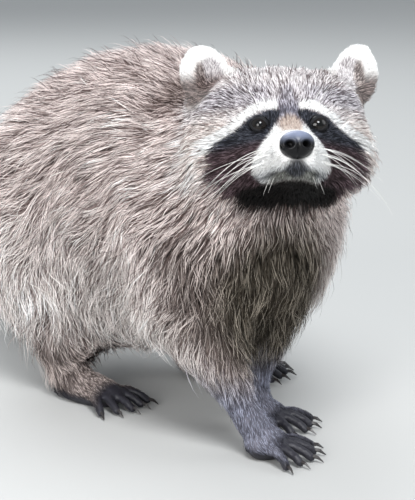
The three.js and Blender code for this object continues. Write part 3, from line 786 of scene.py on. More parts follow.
def head_coats(seen):
    """Pairs of a coat and its share over the head, painted one over the other."""
    x, y, z = np.abs(seen[:, 0]), seen[:, 1], seen[:, 2]
    face = np.stack([x, z], -1)
    even = np.stack([x, y, z], -1)
    front = fade(-6, 14, y)
    yield "crown", fade(8, 28, y - 0.45 * np.maximum(z, 0)) * smoothstep(-46, -26, z)
    yield "nape", smoothstep(14, 34, y) * fade(56, 84, y) * smoothstep(24, 44, z)
    above = smoothstep(20, 27, z) * fade(36, 46, z)
    yield "forehead", front * above * (0.4 + 0.6 * smoothstep(8, 20, x))
    sides = smoothstep(40, 52, x) * fade(8, 24, z) * smoothstep(-48, -22, z)
    yield "cheek", sides * fade(8, 24, y)
    yield "earback", 0.85 * within(even, [[36, 12, 58], [38, 10, 46], [42, 8, 38]], [6, 6, 4], 5)
    stripe = within(face, [[0, 8], [0, 22], [0, 34]], [9.5, 8.5, 5], 3.5)
    yield "stripe", stripe * front * (1 - 0.55 * smoothstep(14, 32, z))
    yield "white", within(face, BROW, BROW_RADII, 1.2) * front
    inner, outer = np.interp(z, MASK_HEIGHTS, MASK_INNER), np.interp(z, MASK_HEIGHTS, MASK_OUTER)
    between = fade(-1.5, 1.5, inner - x) * fade(-2.0, 2.0, x - outer)
    mask = between * (z < 18.5) * fade(4, 18, y) * smoothstep(-50, -45, z)
    yield "mask", mask
    yield "brown", mask * fade(-14, -5, z + 0.12 * (x - 40))
    throat = fade(-40.5, -37.5, z) * fade(34, 46, x) * fade(0, 14, y)
    yield "throat", throat * smoothstep(-62, -50, z)
    muzzle = fade(-1.2, 1.2, x - inner) * smoothstep(-39.5, -37.5, z) * fade(3, 7, z)
    yield "white", muzzle * fade(-30, -22, y)
    yield "tan", within(face, [[0, 1], [0, 5]], [8, 9], 2.5) * smoothstep(-80, -70, y) * (y < 0)
    yield "lip", muzzle * fade(-34, -28, z) * (y < -20)
    chin = fade(-34.5, -31.5, z) * smoothstep(-40.5, -38, z) * fade(14, 24, x)
    yield "chin", chin * (y < -20)
    yield "mask", 0.9 * within(seen, [[0, -86, -24], [0, -84, -31]], [6.5, 8.5], 2.5)
    for side in SIDES.values():
        yield "mask", 0.7 * within(seen, mouth_line(side), [3.0, 2.2, 1.6, 1.2, 0.8, 0.5], 1.4)
        local, rim = to_eye(seen, side)
        yield "lid", fade(1.3, 1.55, rim) * (local[:, 2] > 0) * (local[:, 2] < 16)
    yield "throat", fade(0.95, 1.05, np.linalg.norm((seen - NOSE) / [13.5, 12, 10.5], axis=1))


def body_coats(points):
    """Pairs of a coat and its share over the trunk, legs and tail."""
    z = points[:, 2]
    yield "back", smoothstep(0.235, 0.29, z)
    yield "belly", fade(0.10, 0.20, z)
    # Painted shade: the collar under the head is darker than the coat around it.
    shaded_collar = [spot("neck", 0.0, 0.3, 0.35), spot("neck", 0.3, 0.2, 0.1)]
    yield "neck", within(points, shaded_collar, [0.046, 0.046], 0.018)
    # Painted shade: the breast under the head is darker than the coat around it.
    shaded_breast = [spot("neck", 0.45, 0.15, 0.25), spot("chest", 0.5, 0.0, 0.2)]
    yield "shaded_breast", within(points, shaded_breast, [0.056, 0.056], 0.020)
    for name in SIDES:
        for part, paw, coat in (("forearm", "forepaw", "foreleg"), ("shank", "hindpaw", "hindleg")):
            limb, foot = f"{part}_{name}", f"{paw}_{name}"
            near = within(points, [centre(limb), centre(foot)], [0.038, 0.055], 0.010)
            base, tall = low(limb)[2], high(limb)[2] - low(limb)[2]
            yield coat, near * fade(base + 0.05 * tall, base + 0.4 * tall, z)
    for apart in past_fur(points):
        yield "leather", fade(-4, 10, apart)
    yield "leather", fade(0.006, 0.012, z)
    along = tail_share(points)
    for ring in TAIL_RINGS:
        yield "ring", (along > 0) * fade(0.03, 0.045, np.abs(along - ring))
    yield "ring", smoothstep(0.86, 0.89, along)


# The middle of each paw's claws, and how far from there the fur of its back ends, in mm.
FINGERTIPS = {
    f"{kind}_{side}": np.mean([centre(f"claw_{kind}_{side}_{i}") for i in range(1, 6)], 0)
    for kind in ("fore", "hind")
    for side in SIDES
}
FUR_ENDS = {"fore": 27, "hind": 32}
PAW_HEIGHT = 0.04


def past_fur(points):
    """For each paw, how far the points near the floor are from the end of its fur, in mm, below 0 if bare."""
    for name, tips in FINGERTIPS.items():
        apart = np.linalg.norm(points - tips, axis=1) / MM - FUR_ENDS[name.split("_")[0]]
        yield np.where(points[:, 2] < PAW_HEIGHT, apart, np.inf)


TAIL_RINGS = (0.36, 0.50, 0.64, 0.77)


def tail_share(points):
    """How far along the tail each point is, from 0 at its root to 1 at its tip, or -1 off the tail."""
    apart, along = apart_from(np.asarray(points), TAIL)
    return np.where((apart < 0.05) & (points[:, 1] > TAIL[0][1] - 0.01), along, -1.0)


class Ripples:
    """Smooth random variation in space, mostly between -1 and 1."""

    def __init__(self, wavelength, count=12):
        turns = 2 * math.pi / wavelength * rng.uniform(0.6, 1.5, (count, 1))
        self.ways = unit(rng.normal(size=(count, 3))) * turns
        self.starts = rng.uniform(0, 2 * math.pi, count)

    def at(self, points):
        waves = np.sin(points @ self.ways.T + self.starts)
        return waves.mean(1) * math.sqrt(len(self.starts) / 2)


SHADES = Ripples(38 * MM)  # lighter and darker tufts
SWIRLS = Ripples(60 * MM)  # the lie of the coat turning this way and that
CURLS = Ripples(22 * MM)


def painted(points):
    """The root, pale and dark colours, and the share of pale hairs, at some points."""
    seen = to_head(points)
    values = [np.zeros((len(points), 1)) + value for value in COATS["flank"]]
    layers = [("tail", (tail_share(points) > 0.08).astype(float)), *body_coats(points)]
    near = np.linalg.norm(seen, axis=1) < 140
    layers += [(coat, share * near) for coat, share in head_coats(seen)]
    ears = ear_share(seen)
    layers.append(("white", ears))
    for name, side in SIDES.items():
        apart = (seen - to_head(centre(f"ear_{name}"))) * [side, 1, 1]
        hollow = np.hypot((apart[:, 0] + 4) / 12, (apart[:, 2] + 1) / 16)
        layers.append(("ear", fade(0.75, 1.05, hollow) * (apart[:, 1] < 2) * ears))
        # Painted shade: the deep middle of each ear's hollow takes the hind legs' darker coat.
        deep = np.hypot((apart[:, 0] - 4) / 5, (apart[:, 2] + 1) / 13)
        layers.append(("hindleg", 0.85 * fade(0.6, 1.2, deep) * (apart[:, 1] < 2) * ears))
        behind = smoothstep(9.0, 13.0, apart[:, 1]) * fade(2, 14, apart[:, 2])
        base = fade(-18, -13, apart[:, 0]) * fade(-8, 6, apart[:, 2])
        layers.append(("earback", ears * np.maximum(behind * (apart[:, 0] < 8), base) * 0.9))
    for coat, share in layers:
        for i, value in enumerate(COATS[coat]):
            values[i] = values[i] + (np.asarray(value) - values[i]) * share[:, None]
    return values


# ---- The coat --------------------------------------------------------------------------------------------


def lie_of_coat(points, normals, edges):
    """The smooth direction of the hair along the skin, at each of its points."""
    lie = unit(styled(points, SPOT_LIE))
    for _ in range(3):
        lie = unit(lie - normals * (lie * normals).sum(1, keepdims=True))
        lie = smoothed(lie, edges, 6)
    return unit(lie - normals * (lie * normals).sum(1, keepdims=True))


def woven_order(places):
    """An order that keeps near places near each other."""
    cells = ((places - places.min(0)) / (4 * MM)).astype(np.int64)
    code = np.zeros(len(places), np.int64)
    for bit in range(9):
        for axis in range(3):
            code |= ((cells[:, axis] >> bit) & 1) << (3 * bit + axis)
    return np.argsort(code, kind="stable")


class Skin:
    """The finished skin's faces and fields, from which the coat grows."""

    def __init__(self, piece):
        mesh = piece.data
        mesh.calc_loop_triangles()
        self.triangles = read(mesh.loop_triangles, "vertices", 3, np.int32)
        self.points = points_of(mesh)
        self.normals = normals_of(mesh)
        edges = edges_of(mesh)
        self.style = styled(self.points, SPOT_STYLE)
        self.soft = unit(smoothed(self.normals, edges, 4))
        self.lie = lie_of_coat(self.points, self.soft, edges)
        turn = SWIRLS.at(self.points) * (0.10 + 0.30 * self.style[:, 3])
        turn += CURLS.at(self.points) * (0.04 + 0.40 * self.style[:, 3])
        turn *= 1 - 0.7 * thin_share(self.points)
        aside = np.cross(self.soft, self.lie)
        self.lie = unit(self.lie * np.cos(turn)[:, None] + aside * np.sin(turn)[:, None])
        corners = self.points[self.triangles]
        a, b, c = corners.transpose(1, 0, 2)
        self.areas = np.linalg.norm(np.cross(b - a, c - a), axis=1) / 2
        self.order = woven_order(corners.mean(1))
        self.tree = kdtree.KDTree(len(self.points))
        for i, point in enumerate(self.points):
            self.tree.insert(point, i)
        self.tree.balance()

    def nearest(self, points):
        find = self.tree.find
        return np.array([find(p)[1] for p in points])

    def roots(self, density):
        """Evenly scattered places on the skin. density: roots per square metre, at each of its points."""
        order = self.order
        wanted = (density[self.triangles].mean(1) * self.areas)[order]
        total = np.cumsum(wanted)
        count = int(total[-1])
        picks = np.arange(count) + rng.uniform(0.1, 0.9, count)
        faces = order[np.searchsorted(total, np.minimum(picks, total[-1] - 1e-9))]
        a, b = rng.random((2, count))
        flip = a + b > 1
        a, b = np.where(flip, 1 - a, a), np.where(flip, 1 - b, b)
        weights = np.stack([1 - a - b, a, b], -1)
        corners = self.triangles[faces]
        places = (self.points[corners] * weights[..., None]).sum(1)
        return places, corners[np.arange(count), weights.argmax(1)]


def bare(points):
    """1 where no hair grows: within the lids, on the nose pad, between the lips, and under the feet."""
    seen = to_head(points)
    none = np.zeros(len(points))
    for side in SIDES.values():
        local, share = to_eye(seen, side)
        none = np.maximum(none, (share < 1.2) & (local[:, 2] > 0) & (local[:, 2] < 16))
        apart, _ = apart_from(seen, mouth_line(side))
        none = np.maximum(none, apart < 1.3)
    none = np.maximum(none, np.linalg.norm((seen - NOSE) / [13.5, 10.5, 10.5], axis=1) < 1.0)
    for apart in past_fur(points):
        none = np.maximum(none, apart < 0)
    return np.maximum(none, points[:, 2] < 0.008)


def hanging(points):
    """1 where long hair hangs free: at the belly, the elbows and the thighs."""
    z = points[:, 2]
    return fade(0.10, 0.17, z) * smoothstep(0.02, 0.04, z)


LIFT = (0.2, 0.12, 0.1)  # the least that a lock rises, by its length, and what ears and hanging hair add


def strand_paths(skin, roots, nearest, length, reach, turn, phase, steps, wave):
    """The middle line of each lock: out of the skin, over to the lie of the coat, up to the outline."""
    depth, _ = read_outer(roots)
    least = (LIFT[0] + LIFT[1] * ear_share(to_head(roots)) + LIFT[2] * hanging(roots)) * length
    room = np.maximum(-depth * reach, least * reach)
    normals, lie = skin.soft[nearest], skin.lie[nearest]
    aside = np.cross(normals, lie)
    heading = unit(lie * np.cos(turn)[:, None] + aside * np.sin(turn)[:, None])
    path = [roots - normals * 0.4 * MM]
    here = roots
    step = (length / steps)[:, None]
    lean = np.tan(turn)[:, None] * 0.7
    for k in range(1, steps + 1):
        share = k / steps
        moved = here + heading * step
        target = depth + room * (1 - (1 - share) ** 1.8)
        value, out = read_outer(moved)
        moved = moved + out * np.clip(target - value, -1.2 * step[:, 0], 1.2 * step[:, 0])[:, None]
        moved[:, 2] = np.maximum(moved[:, 2], 1.5 * MM)
        here = moved
        swing = np.sin(phase + share * 2 * math.pi * 0.75) * wave * length * 0.15 * share
        path.append(here + aside * swing[:, None])
        if k < steps:
            near = skin.nearest(here)
            lie = skin.lie[near]
            aside = np.cross(skin.soft[near], lie)
            heading = unit(heading * 0.35 + unit(lie + aside * lean) * 0.65)
    return np.stack(path, 1)


def tufts(roots, spacing):
    """Groups neighbouring roots into tufts: the tuft of each root, and one root of each tuft."""
    bent = roots / spacing
    bent = bent + 0.45 * np.sin(1.7 * bent[:, [1, 2, 0]] + 2.3 * bent[:, [2, 0, 1]])
    keys = (np.floor(bent).astype(np.int64) * [73856093, 19349663, 83492791]).sum(1)
    _, leaders, tuft = np.unique(keys, return_index=True, return_inverse=True)
    return tuft.reshape(-1), leaders


def drawn_together(path, tuft, leaders, pull):
    """Lets the locks of a tuft lean together towards their tips."""
    share = np.linspace(0, 1, path.shape[1])[None, :, None] ** 1.3
    return path + (path[leaders[tuft]] - path) * share * pull[:, None, None]


def lock_mesh(name, path, width, facing, colours, places):
    """One mesh of closed, tapered locks of three sides. colours: one for each ring; places: on the map."""
    count, rings = path.shape[:2]
    rings -= 1  # the last point of each line is a lock's tip
    along = unit(np.diff(path, axis=1))
    along = unit(np.concatenate([along[:, :1], along[:, 1:] + along[:, :-1]], 1))
    up = unit(facing[:, None] - along * (facing[:, None] * along).sum(-1, keepdims=True))
    aside = np.cross(along, up)
    share = np.arange(rings) / rings
    taper = np.interp(share, [0, 0.35, 0.7, 1], [0.6, 1.0, 0.7, 0.3])[None, :, None]
    half = width[:, None, None] / 2 * taper
    middle = path[:, :rings]
    ring = np.stack([middle - aside * half, middle + aside * half, middle + up * half * 0.8], 2)
    per = 3 * rings + 1
    points = np.concatenate([ring.reshape(count, -1, 3), path[:, -1:]], 1).reshape(-1, 3)
    quads, threes = [], [(0, 2, 1)]
    for k in range(rings - 1):
        for j in range(3):
            a, b = 3 * k + j, 3 * k + (j + 1) % 3
            quads.append((a, b, b + 3, a + 3))
    last = 3 * (rings - 1)
    threes += [(last + j, last + (j + 1) % 3, per - 1) for j in range(3)]
    loops = (np.arange(count) * per)[:, None] + np.concatenate([np.ravel(quads), np.ravel(threes)])
    sizes = np.tile([4] * len(quads) + [3] * len(threes), count)
    mesh = bpy.data.meshes.new(name)
    mesh.vertices.add(len(points))
    mesh.vertices.foreach_set("co", points.astype(np.float32).ravel())
    mesh.loops.add(loops.size)
    mesh.loops.foreach_set("vertex_index", loops.astype(np.int32).ravel())
    mesh.polygons.add(len(sizes))
    mesh.polygons.foreach_set("loop_start", np.concatenate([[0], np.cumsum(sizes)[:-1]]).astype(np.int32))
    shades = np.concatenate([np.repeat(colours[:, :rings], 3, axis=1), colours[:, -1:]], 1)
    add_values(mesh, "coat", shades.reshape(-1, 3))
    patch = lock_patch(rings, quads, threes)
    spots = places[:, None] + patch[None] * PATCH
    uv = mesh.uv_layers.new(name="OFBake")
    uv.data.foreach_set("uv", spots.astype(np.float32).ravel())
    mesh.update(calc_edges=True)
    return placed(name, mesh)


PATCH = 0.003  # of the baking map's width, for each lock
TUFT = 4 * MM  # how wide the locks lean together
WISP = 11 * MM  # how wide the tufts do


def lock_patch(rings, quads, threes):
    """Where each corner of a lock's faces lies in its patch, from -0.5 to 0.5."""
    def place(vertex, side):
        level = 1.0 if vertex == 3 * rings else (vertex // 3) / rings
        return [side / 3 - 0.5, level * 0.85 - 0.35]
    patch = []
    for k, quad in enumerate(quads):
        j = k % 3
        patch += [place(quad[0], j), place(quad[1], j + 1), place(quad[2], j + 1), place(quad[3], j)]
    patch += [[-0.5, -0.5], [0.0, -0.38], [0.5, -0.5]]
    for j, three in enumerate(threes[1:]):
        patch += [place(three[0], j), place(three[1], j + 1), place(three[2], j + 0.5)]
    return np.array(patch) * 0.92


def map_places(roots, normals):
    """Each root's place on an unwrap of the skin: six sides of the form laid out side by side."""
    side = np.abs(normals).argmax(1)
    ahead = normals[np.arange(len(side)), side] > 0
    flat = np.empty((len(roots), 2))
    low_corner, room = roots.min(0), roots.max(0) - roots.min(0)
    scale = 0.31 / room.max()
    for axis in range(3):
        rest = [a for a in range(3) if a != axis]
        for way in (0, 1):
            mine = (side == axis) & (ahead == bool(way))
            shift = [0.01 + axis * 0.33, 0.01 + way * 0.5]
            flat[mine] = (roots[mine][:, rest] - low_corner[rest]) * scale + shift
    return flat


def grow(name, skin, share, coverage, steps, under=False):
    """One piece of the coat, of fine locks or of wide soft ones under them.

    share: how much of the piece each point of the skin carries. coverage: how often its locks cover the skin.
    """
    length, width = skin.style[:, 1] * MM, skin.style[:, 2] * MM
    if under:
        length, width = length * 0.8, 0.9 * MM + width * 3
    density = coverage / (0.55 * length * width) * share
    roots, nearest = skin.roots(density)
    keep = bare(roots) < 0.5
    roots, nearest = roots[keep], nearest[keep]
    count = len(roots)
    tuft, leaders = tufts(roots, TUFT)
    wisp, first = tufts(roots, WISP)
    of_tuft = rng.normal(size=(3, len(leaders)))[:, tuft]
    of_wisp = rng.normal(size=(3, len(first)))[:, wisp]
    size = rng.uniform(0.75, 1.15, count) * (1 + 0.1 * np.clip(of_wisp[0], -1.5, 1.5))
    length, width = length[nearest] * size, width[nearest] * rng.uniform(0.75, 1.25, count)
    wave = skin.style[nearest, 3]
    turn = rng.normal(size=count) * (0.07 + 0.10 * wave) + of_tuft[1] * (0.04 + 0.16 * wave)
    turn += of_wisp[1] * (0.02 + 0.30 * wave)
    outlier = rng.random(count) < 0.07
    if under:
        reached = rng.uniform(0.35, 0.8, count)
    else:
        reached = rng.uniform(0.6, 1.0, count) + 0.10 * of_wisp[2] + outlier * rng.uniform(0, 0.5, count)
        reached *= 1 + 0.45 * hanging(roots)
        turn *= 1 + 0.4 * outlier
    phase = of_tuft[2] * 3 + rng.normal(size=count) * 0.5
    path = strand_paths(skin, roots, nearest, length, reached, turn, phase, steps, wave)
    if not under:
        loose = ~outlier * np.minimum(1, length / 0.02)
        path = drawn_together(path, tuft, leaders, loose * rng.uniform(0.2, 0.85, count))
        path = drawn_together(path, wisp, first, loose * rng.uniform(0.1, 0.6, count))
    beneath, pale, dark, chance = painted(path[:, (steps + 1) // 2])
    mottle = np.clip(SHADES.at(roots) * 0.6 + 0.5 * of_wisp[0] + 0.3 * of_tuft[0], -1.8, 1.8)[:, None]
    light = rng.random((count, 1)) < chance + 0.10 * mottle
    blend = rng.uniform(0.62, 1.0, (count, 1))  # how far a lock keeps to its own colour
    mean = pale * chance + dark * (1 - chance)
    colour = np.where(light, pale, dark) * blend + mean * (1 - blend)
    contrast = 0.06 + 0.12 * smoothstep(0.012, 0.03, length)[:, None]
    colour = colour * rng.uniform(0.88, 1.10, (count, 1)) * (1 + contrast * mottle)
    guard = outlier & (rng.random(count) < 0.6 * (1 - hanging(roots)))
    colour = np.where(guard[:, None], dark * 0.6, colour)
    if under:
        colour = (beneath * 0.4 + 0.6 * mean) * (1 + 0.15 * mottle)
    rise = smoothstep(0.0, 0.6, np.linspace(0, 1, steps + 1))[None, :, None]
    shades = beneath[:, None] * (1 - rise) + colour[:, None] * rise
    normals = skin.soft[nearest]
    piece = lock_mesh(name, path, width, normals, np.clip(shades, 0, 1), map_places(roots, normals))
    dress(piece, "coat")


UPPER_LEGS = tuple(f"{part}_{side}" for part in ("shoulder", "thigh") for side in SIDES)
LOWER_LEGS = tuple(f"{part}_{side}" for part in ("forearm", "shank") for side in SIDES)
PAWS = tuple(f"{part}_{side}" for part in ("forepaw", "hindpaw") for side in SIDES)

# Each piece: the nodes it covers, on which side of the body or face, how often the locks cover the skin, and
# how many joints a lock has.
COAT_PIECES = {
    "coat_muzzle": (("muzzle",), "all", 1.8, 2, "white_coat"),
    "coat_face": (("head",), "front", 2.5, 2, "coat"),
    "coat_head": (("head",), "back", 2.3, 3, "coat"),
    "coat_ears": (("ear_right", "ear_left"), "all", 1.5, 2, "white_coat"),
    "coat_neck": (("neck",), "all", 1.45, 4, "coat"),
    "coat_chest_right": (("chest",), "right", 1.6, 4, "coat"),
    "coat_chest_left": (("chest",), "left", 1.3, 4, "coat"),
    "coat_loin_right": (("loin",), "right", 1.5, 4, "coat"),
    "coat_loin_left": (("loin",), "left", 1.2, 4, "coat"),
    "coat_shoulder_right": (("shoulder_right",), "all", 2.0, 4, "coat"),
    "coat_shoulder_left": (("shoulder_left",), "all", 1.5, 4, "coat"),
    "coat_thigh_right": (("thigh_right",), "all", 1.9, 4, "coat"),
    "coat_thigh_left": (("thigh_left",), "all", 1.5, 4, "coat"),
    "coat_lower_legs": (LOWER_LEGS, "all", 1.5, 3, "coat"),
    "coat_paws": (PAWS, "all", 0.85, 2, "coat"),
    "coat_tail": (TAIL_NODES, "all", 1.6, 3, "coat"),
}

# The soft wide locks under them.
UNDER_PIECES = {
    "under_head": (("head", "neck"), "all", 1.1, 2, "coat"),
    "under_trunk": (("chest", "loin"), "all", 1.2, 2, "coat"),
    "under_legs": (UPPER_LEGS + LOWER_LEGS, "all", 1.2, 2, "coat"),
    "under_tail": (TAIL_NODES, "all", 1.2, 2, "coat"),
}


def nearest_nodes(points):
    """The name of the frame's node nearest to each point."""
    spots, owners = [], []
    for name in FLESH:
        found, _ = node_mesh(name)
        spots.append(found)
        owners += [name] * len(found)
    spots = np.concatenate(spots)
    tree = kdtree.KDTree(len(spots))
    for i, place in enumerate(spots):
        tree.insert(place, i)
    tree.balance()
    return np.array([owners[tree.find(p)[1]] for p in points])


def make_coat(skin):
    owner = nearest_nodes(skin.points + skin.normals * (skin.style[:, :1] * MM))
    facing = to_head(skin.points)[:, 1] < -14
    right = skin.points[:, 0] < centre("chest")[0]
    part = {"front": facing, "back": ~facing, "right": right, "left": ~right, "all": right | ~right}
    for name, (nodes, side, coverage, steps, slot) in {**COAT_PIECES, **UNDER_PIECES}.items():
        share = (np.isin(owner, nodes) & part[side]).astype(float)
        if name.startswith("under"):
            share *= smoothstep(4, 9, skin.style[:, 0])
        grow(name, skin, share, coverage * (1), steps, name.startswith("under"))


# ---- Materials -------------------------------------------------------------------------------------------


MATERIALS = {}


def new_material(name, roughness, colour=(0.5, 0.5, 0.5), **settings):
    material = bpy.data.materials.new(name)
    material.use_nodes = True
    shader = material.node_tree.nodes["Principled BSDF"]
    for key, value in {"Roughness": roughness, "Base Color": (*colour, 1), **settings}.items():
        shader.inputs[key].default_value = value
    MATERIALS[name] = material
    return material.node_tree, shader


def node(tree, kind, **values):
    made = tree.nodes.new(f"ShaderNode{kind}")
    for key, value in values.items():
        if key in made.inputs:
            made.inputs[key].default_value = value
        else:
            setattr(made, key, value)
    return made


def pattern(tree, kind, output, **values):
    """A pattern over the piece's own coordinates, which are metres in the world."""
    made = node(tree, kind, **values)
    tree.links.new(node(tree, "TexCoord").outputs["Object"], made.inputs["Vector"])
    return made.outputs[output]


def noise(tree, scale, detail=3.0):
    return pattern(tree, "TexNoise", "Fac", Scale=scale, Detail=detail)


def attribute(tree, name, output="Fac"):
    return node(tree, "Attribute", attribute_name=name).outputs[output]


def ranged(tree, value, start, end, top=1.0):
    """A value from 0 to the top, brought between the start and the end."""
    level = node(tree, "MapRange", **{"From Max": top, "To Min": start, "To Max": end})
    tree.links.new(value, level.inputs["Value"])
    return level.outputs["Result"]


def ramp(tree, value, *stops):
    """A colour for a value from 0 to 1, between stops of a position and a colour."""
    made = node(tree, "ValToRGB")
    marks = made.color_ramp.elements
    for i, (position, colour) in enumerate(stops):
        mark = marks[i] if i < 2 else marks.new(position)
        mark.position, mark.color = position, (*colour, 1)
    tree.links.new(value, made.inputs["Fac"])
    return made.outputs["Color"]


def bump(tree, shader, height, strength, distance):
    made = node(tree, "Bump", Strength=strength, Distance=distance)
    tree.links.new(height, made.inputs["Height"])
    tree.links.new(made.outputs["Normal"], shader.inputs["Normal"])


def vary(tree, shader, colour, scale, low_share, high_share):
    """Gives the shader a colour that noise makes lighter and darker."""
    mixed = node(tree, "VectorMath", operation="SCALE")
    tree.links.new(colour, mixed.inputs[0])
    tree.links.new(ranged(tree, noise(tree, scale), low_share, high_share), mixed.inputs["Scale"])
    tree.links.new(mixed.outputs["Vector"], shader.inputs["Base Color"])


def plain_material(name, roughness, colour, scale, low_share, high_share):
    tree, shader = new_material(name, roughness)
    base = node(tree, "RGB")
    base.outputs[0].default_value = (*colour, 1)
    vary(tree, shader, base.outputs[0], scale, low_share, high_share)
    return tree, shader


def hair_and_skin_materials():
    tree, shader = new_material("coat", 0.62, **{"Specular IOR Level": 0.12})
    vary(tree, shader, attribute(tree, "coat", "Color"), 60, 0.8, 1.2)
    tree, shader = new_material("skin", 0.6, **{"Specular IOR Level": 0.3})
    vary(tree, shader, attribute(tree, "coat", "Color"), 400, 0.75, 1.25)
    tree.links.new(ranged(tree, attribute(tree, "gloss"), 0.8, 0.42), shader.inputs["Roughness"])
    bump(tree, shader, noise(tree, 900, 4), 0.5, 0.0006)
    plain_material("whisker", 0.35, tone(244, 242, 238), 200, 0.85, 1.1)


def horn_material():
    tree, shader = plain_material("horn", 0.32, tone(40, 36, 36), 300, 0.5, 1.6)
    bump(tree, shader, noise(tree, 1200), 0.2, 0.0003)


def eye_material():
    tree, shader = new_material("eye", 0.03, IOR=1.40)
    out = ranged(tree, attribute(tree, "from_pupil"), 0, 1, EYE_RADIUS)
    pupil = (0.30, (0.001, 0.001, 0.001))
    iris = (0.38, (0.006, 0.0035, 0.0025)), (0.60, (0.004, 0.003, 0.002)), (0.70, (0.0015, 0.001, 0.001))
    vary(tree, shader, ramp(tree, out, pupil, *iris), 1500, 0.7, 1.3)


def nose_material():
    """Moist dark leather, with a painted bluish-grey sky reflection over its top, and dull inside the
    nostrils.
    """
    roughness, pebbles = 0.36, 1100
    moist = {"Specular IOR Level": 0.18, "Coat Weight": 0.12, "Coat Roughness": 0.2}
    tree, shader = new_material("nose", roughness, **moist)
    # Near-black leather, painted bluish grey over the top as a reflection of the sky
    leather_with_painted_sky = ramp(tree, attribute(tree, "top"), (0, tone(6, 6, 8)), (1, tone(118, 125, 146)))
    vary(tree, shader, leather_with_painted_sky, pebbles / 6, 0.7, 1.3)
    tree.links.new(ranged(tree, attribute(tree, "hollow"), roughness, 1.0), shader.inputs["Roughness"])
    bump(tree, shader, pattern(tree, "TexVoronoi", "Distance", Scale=pebbles), 0.25, 0.0003)


hair_and_skin_materials()
horn_material()
eye_material()
nose_material()


def paint_skin(piece):
    """Colours the skin as the roots of its coat, and its bare parts as leather."""
    points = points_of(piece.data)
    under, pale, dark, chance = painted(points)
    colour = under * 0.7 + 0.3 * (pale * chance + dark * (1 - chance))
    add_values(piece.data, "coat", np.clip(colour, 0, 1))
    add_values(piece.data, "gloss", (bare(points) > 0) & (points[:, 2] < PAW_HEIGHT))


# ---- Whiskers --------------------------------------------------------------------------------------------

# Rows on the muzzle's side: where a row starts and ends, how many grow in it, and how long they are, in mm.
WHISKER_ROWS = [
    ((14, -81, -16), (24, -62, -15), 4, (32, 56)),
    ((15, -80, -20), (26, -60, -20), 4, (36, 64)),
    ((14, -79, -25), (26, -56, -26), 4, (34, 60)),
    ((12, -74, -36), (20, -56, -36), 2, (9, 14)),
    ((17, -38, 27), (27, -32, 25), 2, (20, 26)),
]
WHISKER_RADIUS = 0.21


def whisker(root, way, length, droop):
    """A tapered hair that bends backwards and down, with five sides."""
    steps, around = 12, 5
    share = np.linspace(0, 1, steps)[:, None]
    line = root + way * length * share + np.array([0, 0.62, droop]) * length * share**2
    along = unit(np.gradient(line, axis=0))
    aside = unit(np.cross(along, [0.1, 0.2, 1.0]))
    up = np.cross(aside, along)
    turn = np.linspace(0, 2 * math.pi, around, endpoint=False)[None, :, None]
    radius = WHISKER_RADIUS * (1 - 0.85 * share)[:, None]
    rings = line[:, None] + radius * (np.cos(turn) * aside[:, None] + np.sin(turn) * up[:, None])
    faces = [tuple(range(around)), tuple(range((steps - 1) * around, steps * around))[::-1]]
    for i in range(steps - 1):
        here, ahead = i * around, (i + 1) * around
        for j in range(around):
            beside = (j + 1) % around
            faces.append((here + j, here + beside, ahead + beside, ahead + j))
    points = from_head(rings.reshape(-1, 3))
    return points, outward(points, faces)


def make_whiskers():
    points, faces = [], []
    for start, end, count, (shortest, longest) in WHISKER_ROWS:
        for side in SIDES.values():
            for i in range(count):
                share = (i + rng.uniform(0.2, 0.8)) / count
                root = np.array(start) + (np.array(end) - start) * share
                way = unit([1, 0.15 + rng.uniform(-0.1, 0.25), rng.uniform(-0.2, 0.12)])
                if start[2] > 0:
                    way = unit([0.5, -0.1, 1])
                if start[2] < -35:
                    way = unit([0.5, -0.1, -0.9])
                length = shortest + (longest - shortest) * share * rng.uniform(0.85, 1.15)
                flip = np.array([side, 1, 1])
                droop = rng.uniform(-0.55, -0.12)
                made, sides = whisker((root - way * 2.0) * flip, way * flip, length, droop)
                faces += [tuple(corner + len(points) * len(made) for corner in face) for face in sides]
                points.append(made)
    dress(mesh_object("whiskers", np.concatenate(points), faces), "whisker")


# ---- The studio and the camera ---------------------------------------------------------------------------

VIEW = {"azimuth": -32.0, "elevation": 12.0, "distance": 1.300}
EYES_IN_VIEW = (61.4 * MM, 93.9 * MM)  # how far right of and above the view's middle the eyes lie
LENS = 123.6


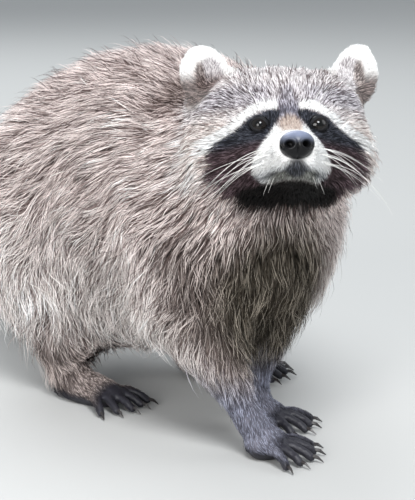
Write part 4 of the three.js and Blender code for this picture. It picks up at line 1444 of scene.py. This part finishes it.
def make_camera():
    azimuth, elevation = math.radians(VIEW["azimuth"]), math.radians(VIEW["elevation"])
    back = Vector((
        math.sin(azimuth) * math.cos(elevation),
        -math.cos(azimuth) * math.cos(elevation),
        math.sin(elevation),
    ))
    right = Vector((math.cos(azimuth), math.sin(azimuth), 0))
    up = back.cross(right)
    eyes = Vector((centre("eye_left") + centre("eye_right")) / 2)
    lens = bpy.data.cameras.new("camera")
    lens.lens = LENS
    lens.clip_end = 100
    camera = placed("camera", lens)
    camera.location = eyes - EYES_IN_VIEW[0] * right - EYES_IN_VIEW[1] * up + VIEW["distance"] * back
    camera.rotation_euler = (-back).to_track_quat("-Z", "Y").to_euler()
    bpy.context.scene.camera = camera


def lamp(name, place, size, power, colour):
    light = bpy.data.lights.new(name, "AREA")
    light.shape = "DISK"
    light.size = size
    light.energy = power
    light.color = colour
    added = placed(name, light)
    added.location = place
    added.rotation_euler = (-Vector(place)).to_track_quat("-Z", "Y").to_euler()


def make_studio():
    world = bpy.data.worlds.new("studio")
    world.use_nodes = True
    sky = world.node_tree.nodes["Background"]
    sky.inputs["Color"].default_value = (0.88, 0.94, 1.0, 1)
    sky.inputs["Strength"].default_value = 0.62
    bpy.context.scene.world = world
    bpy.context.scene.view_settings.view_transform = "Standard"
    lamp("key", (-0.72, -1.75, 2.25), 1.15, 84, (0.97, 0.985, 1.0))
    lamp("side", (-2.7, -1.5, 1.0), 1.8, 68, (1.0, 0.985, 0.97))
    lamp("fill", (2.6, -1.4, 1.6), 2.4, 26, (0.95, 0.98, 1.0))
    lamp("back", (0.6, 2.6, 2.4), 2.4, 60, (0.95, 0.98, 1.0))
    sides = 96
    rim = [(20 * math.cos(a), 20 * math.sin(a), 0) for a in np.linspace(0, 2 * math.pi, sides, False)]
    floor = mesh_object("floor", rim, [tuple(range(sides))])
    new_material("floor", 0.7, (0.45, 0.45, 0.44))
    floor.data.materials.append(MATERIALS["floor"])


make_camera()
make_studio()
skin = make_skin()
paint_skin(skin)
dress(skin, "skin")
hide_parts(*[node for node in FLESH if node != "nose"])
for name, side in SIDES.items():
    make_eye(name, side)
make_nose()
for name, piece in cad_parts.items():
    if name.startswith("claw"):
        piece.data.materials.clear()
        piece.data.materials.append(MATERIALS["horn"])
make_coat(Skin(skin))
make_whiskers()
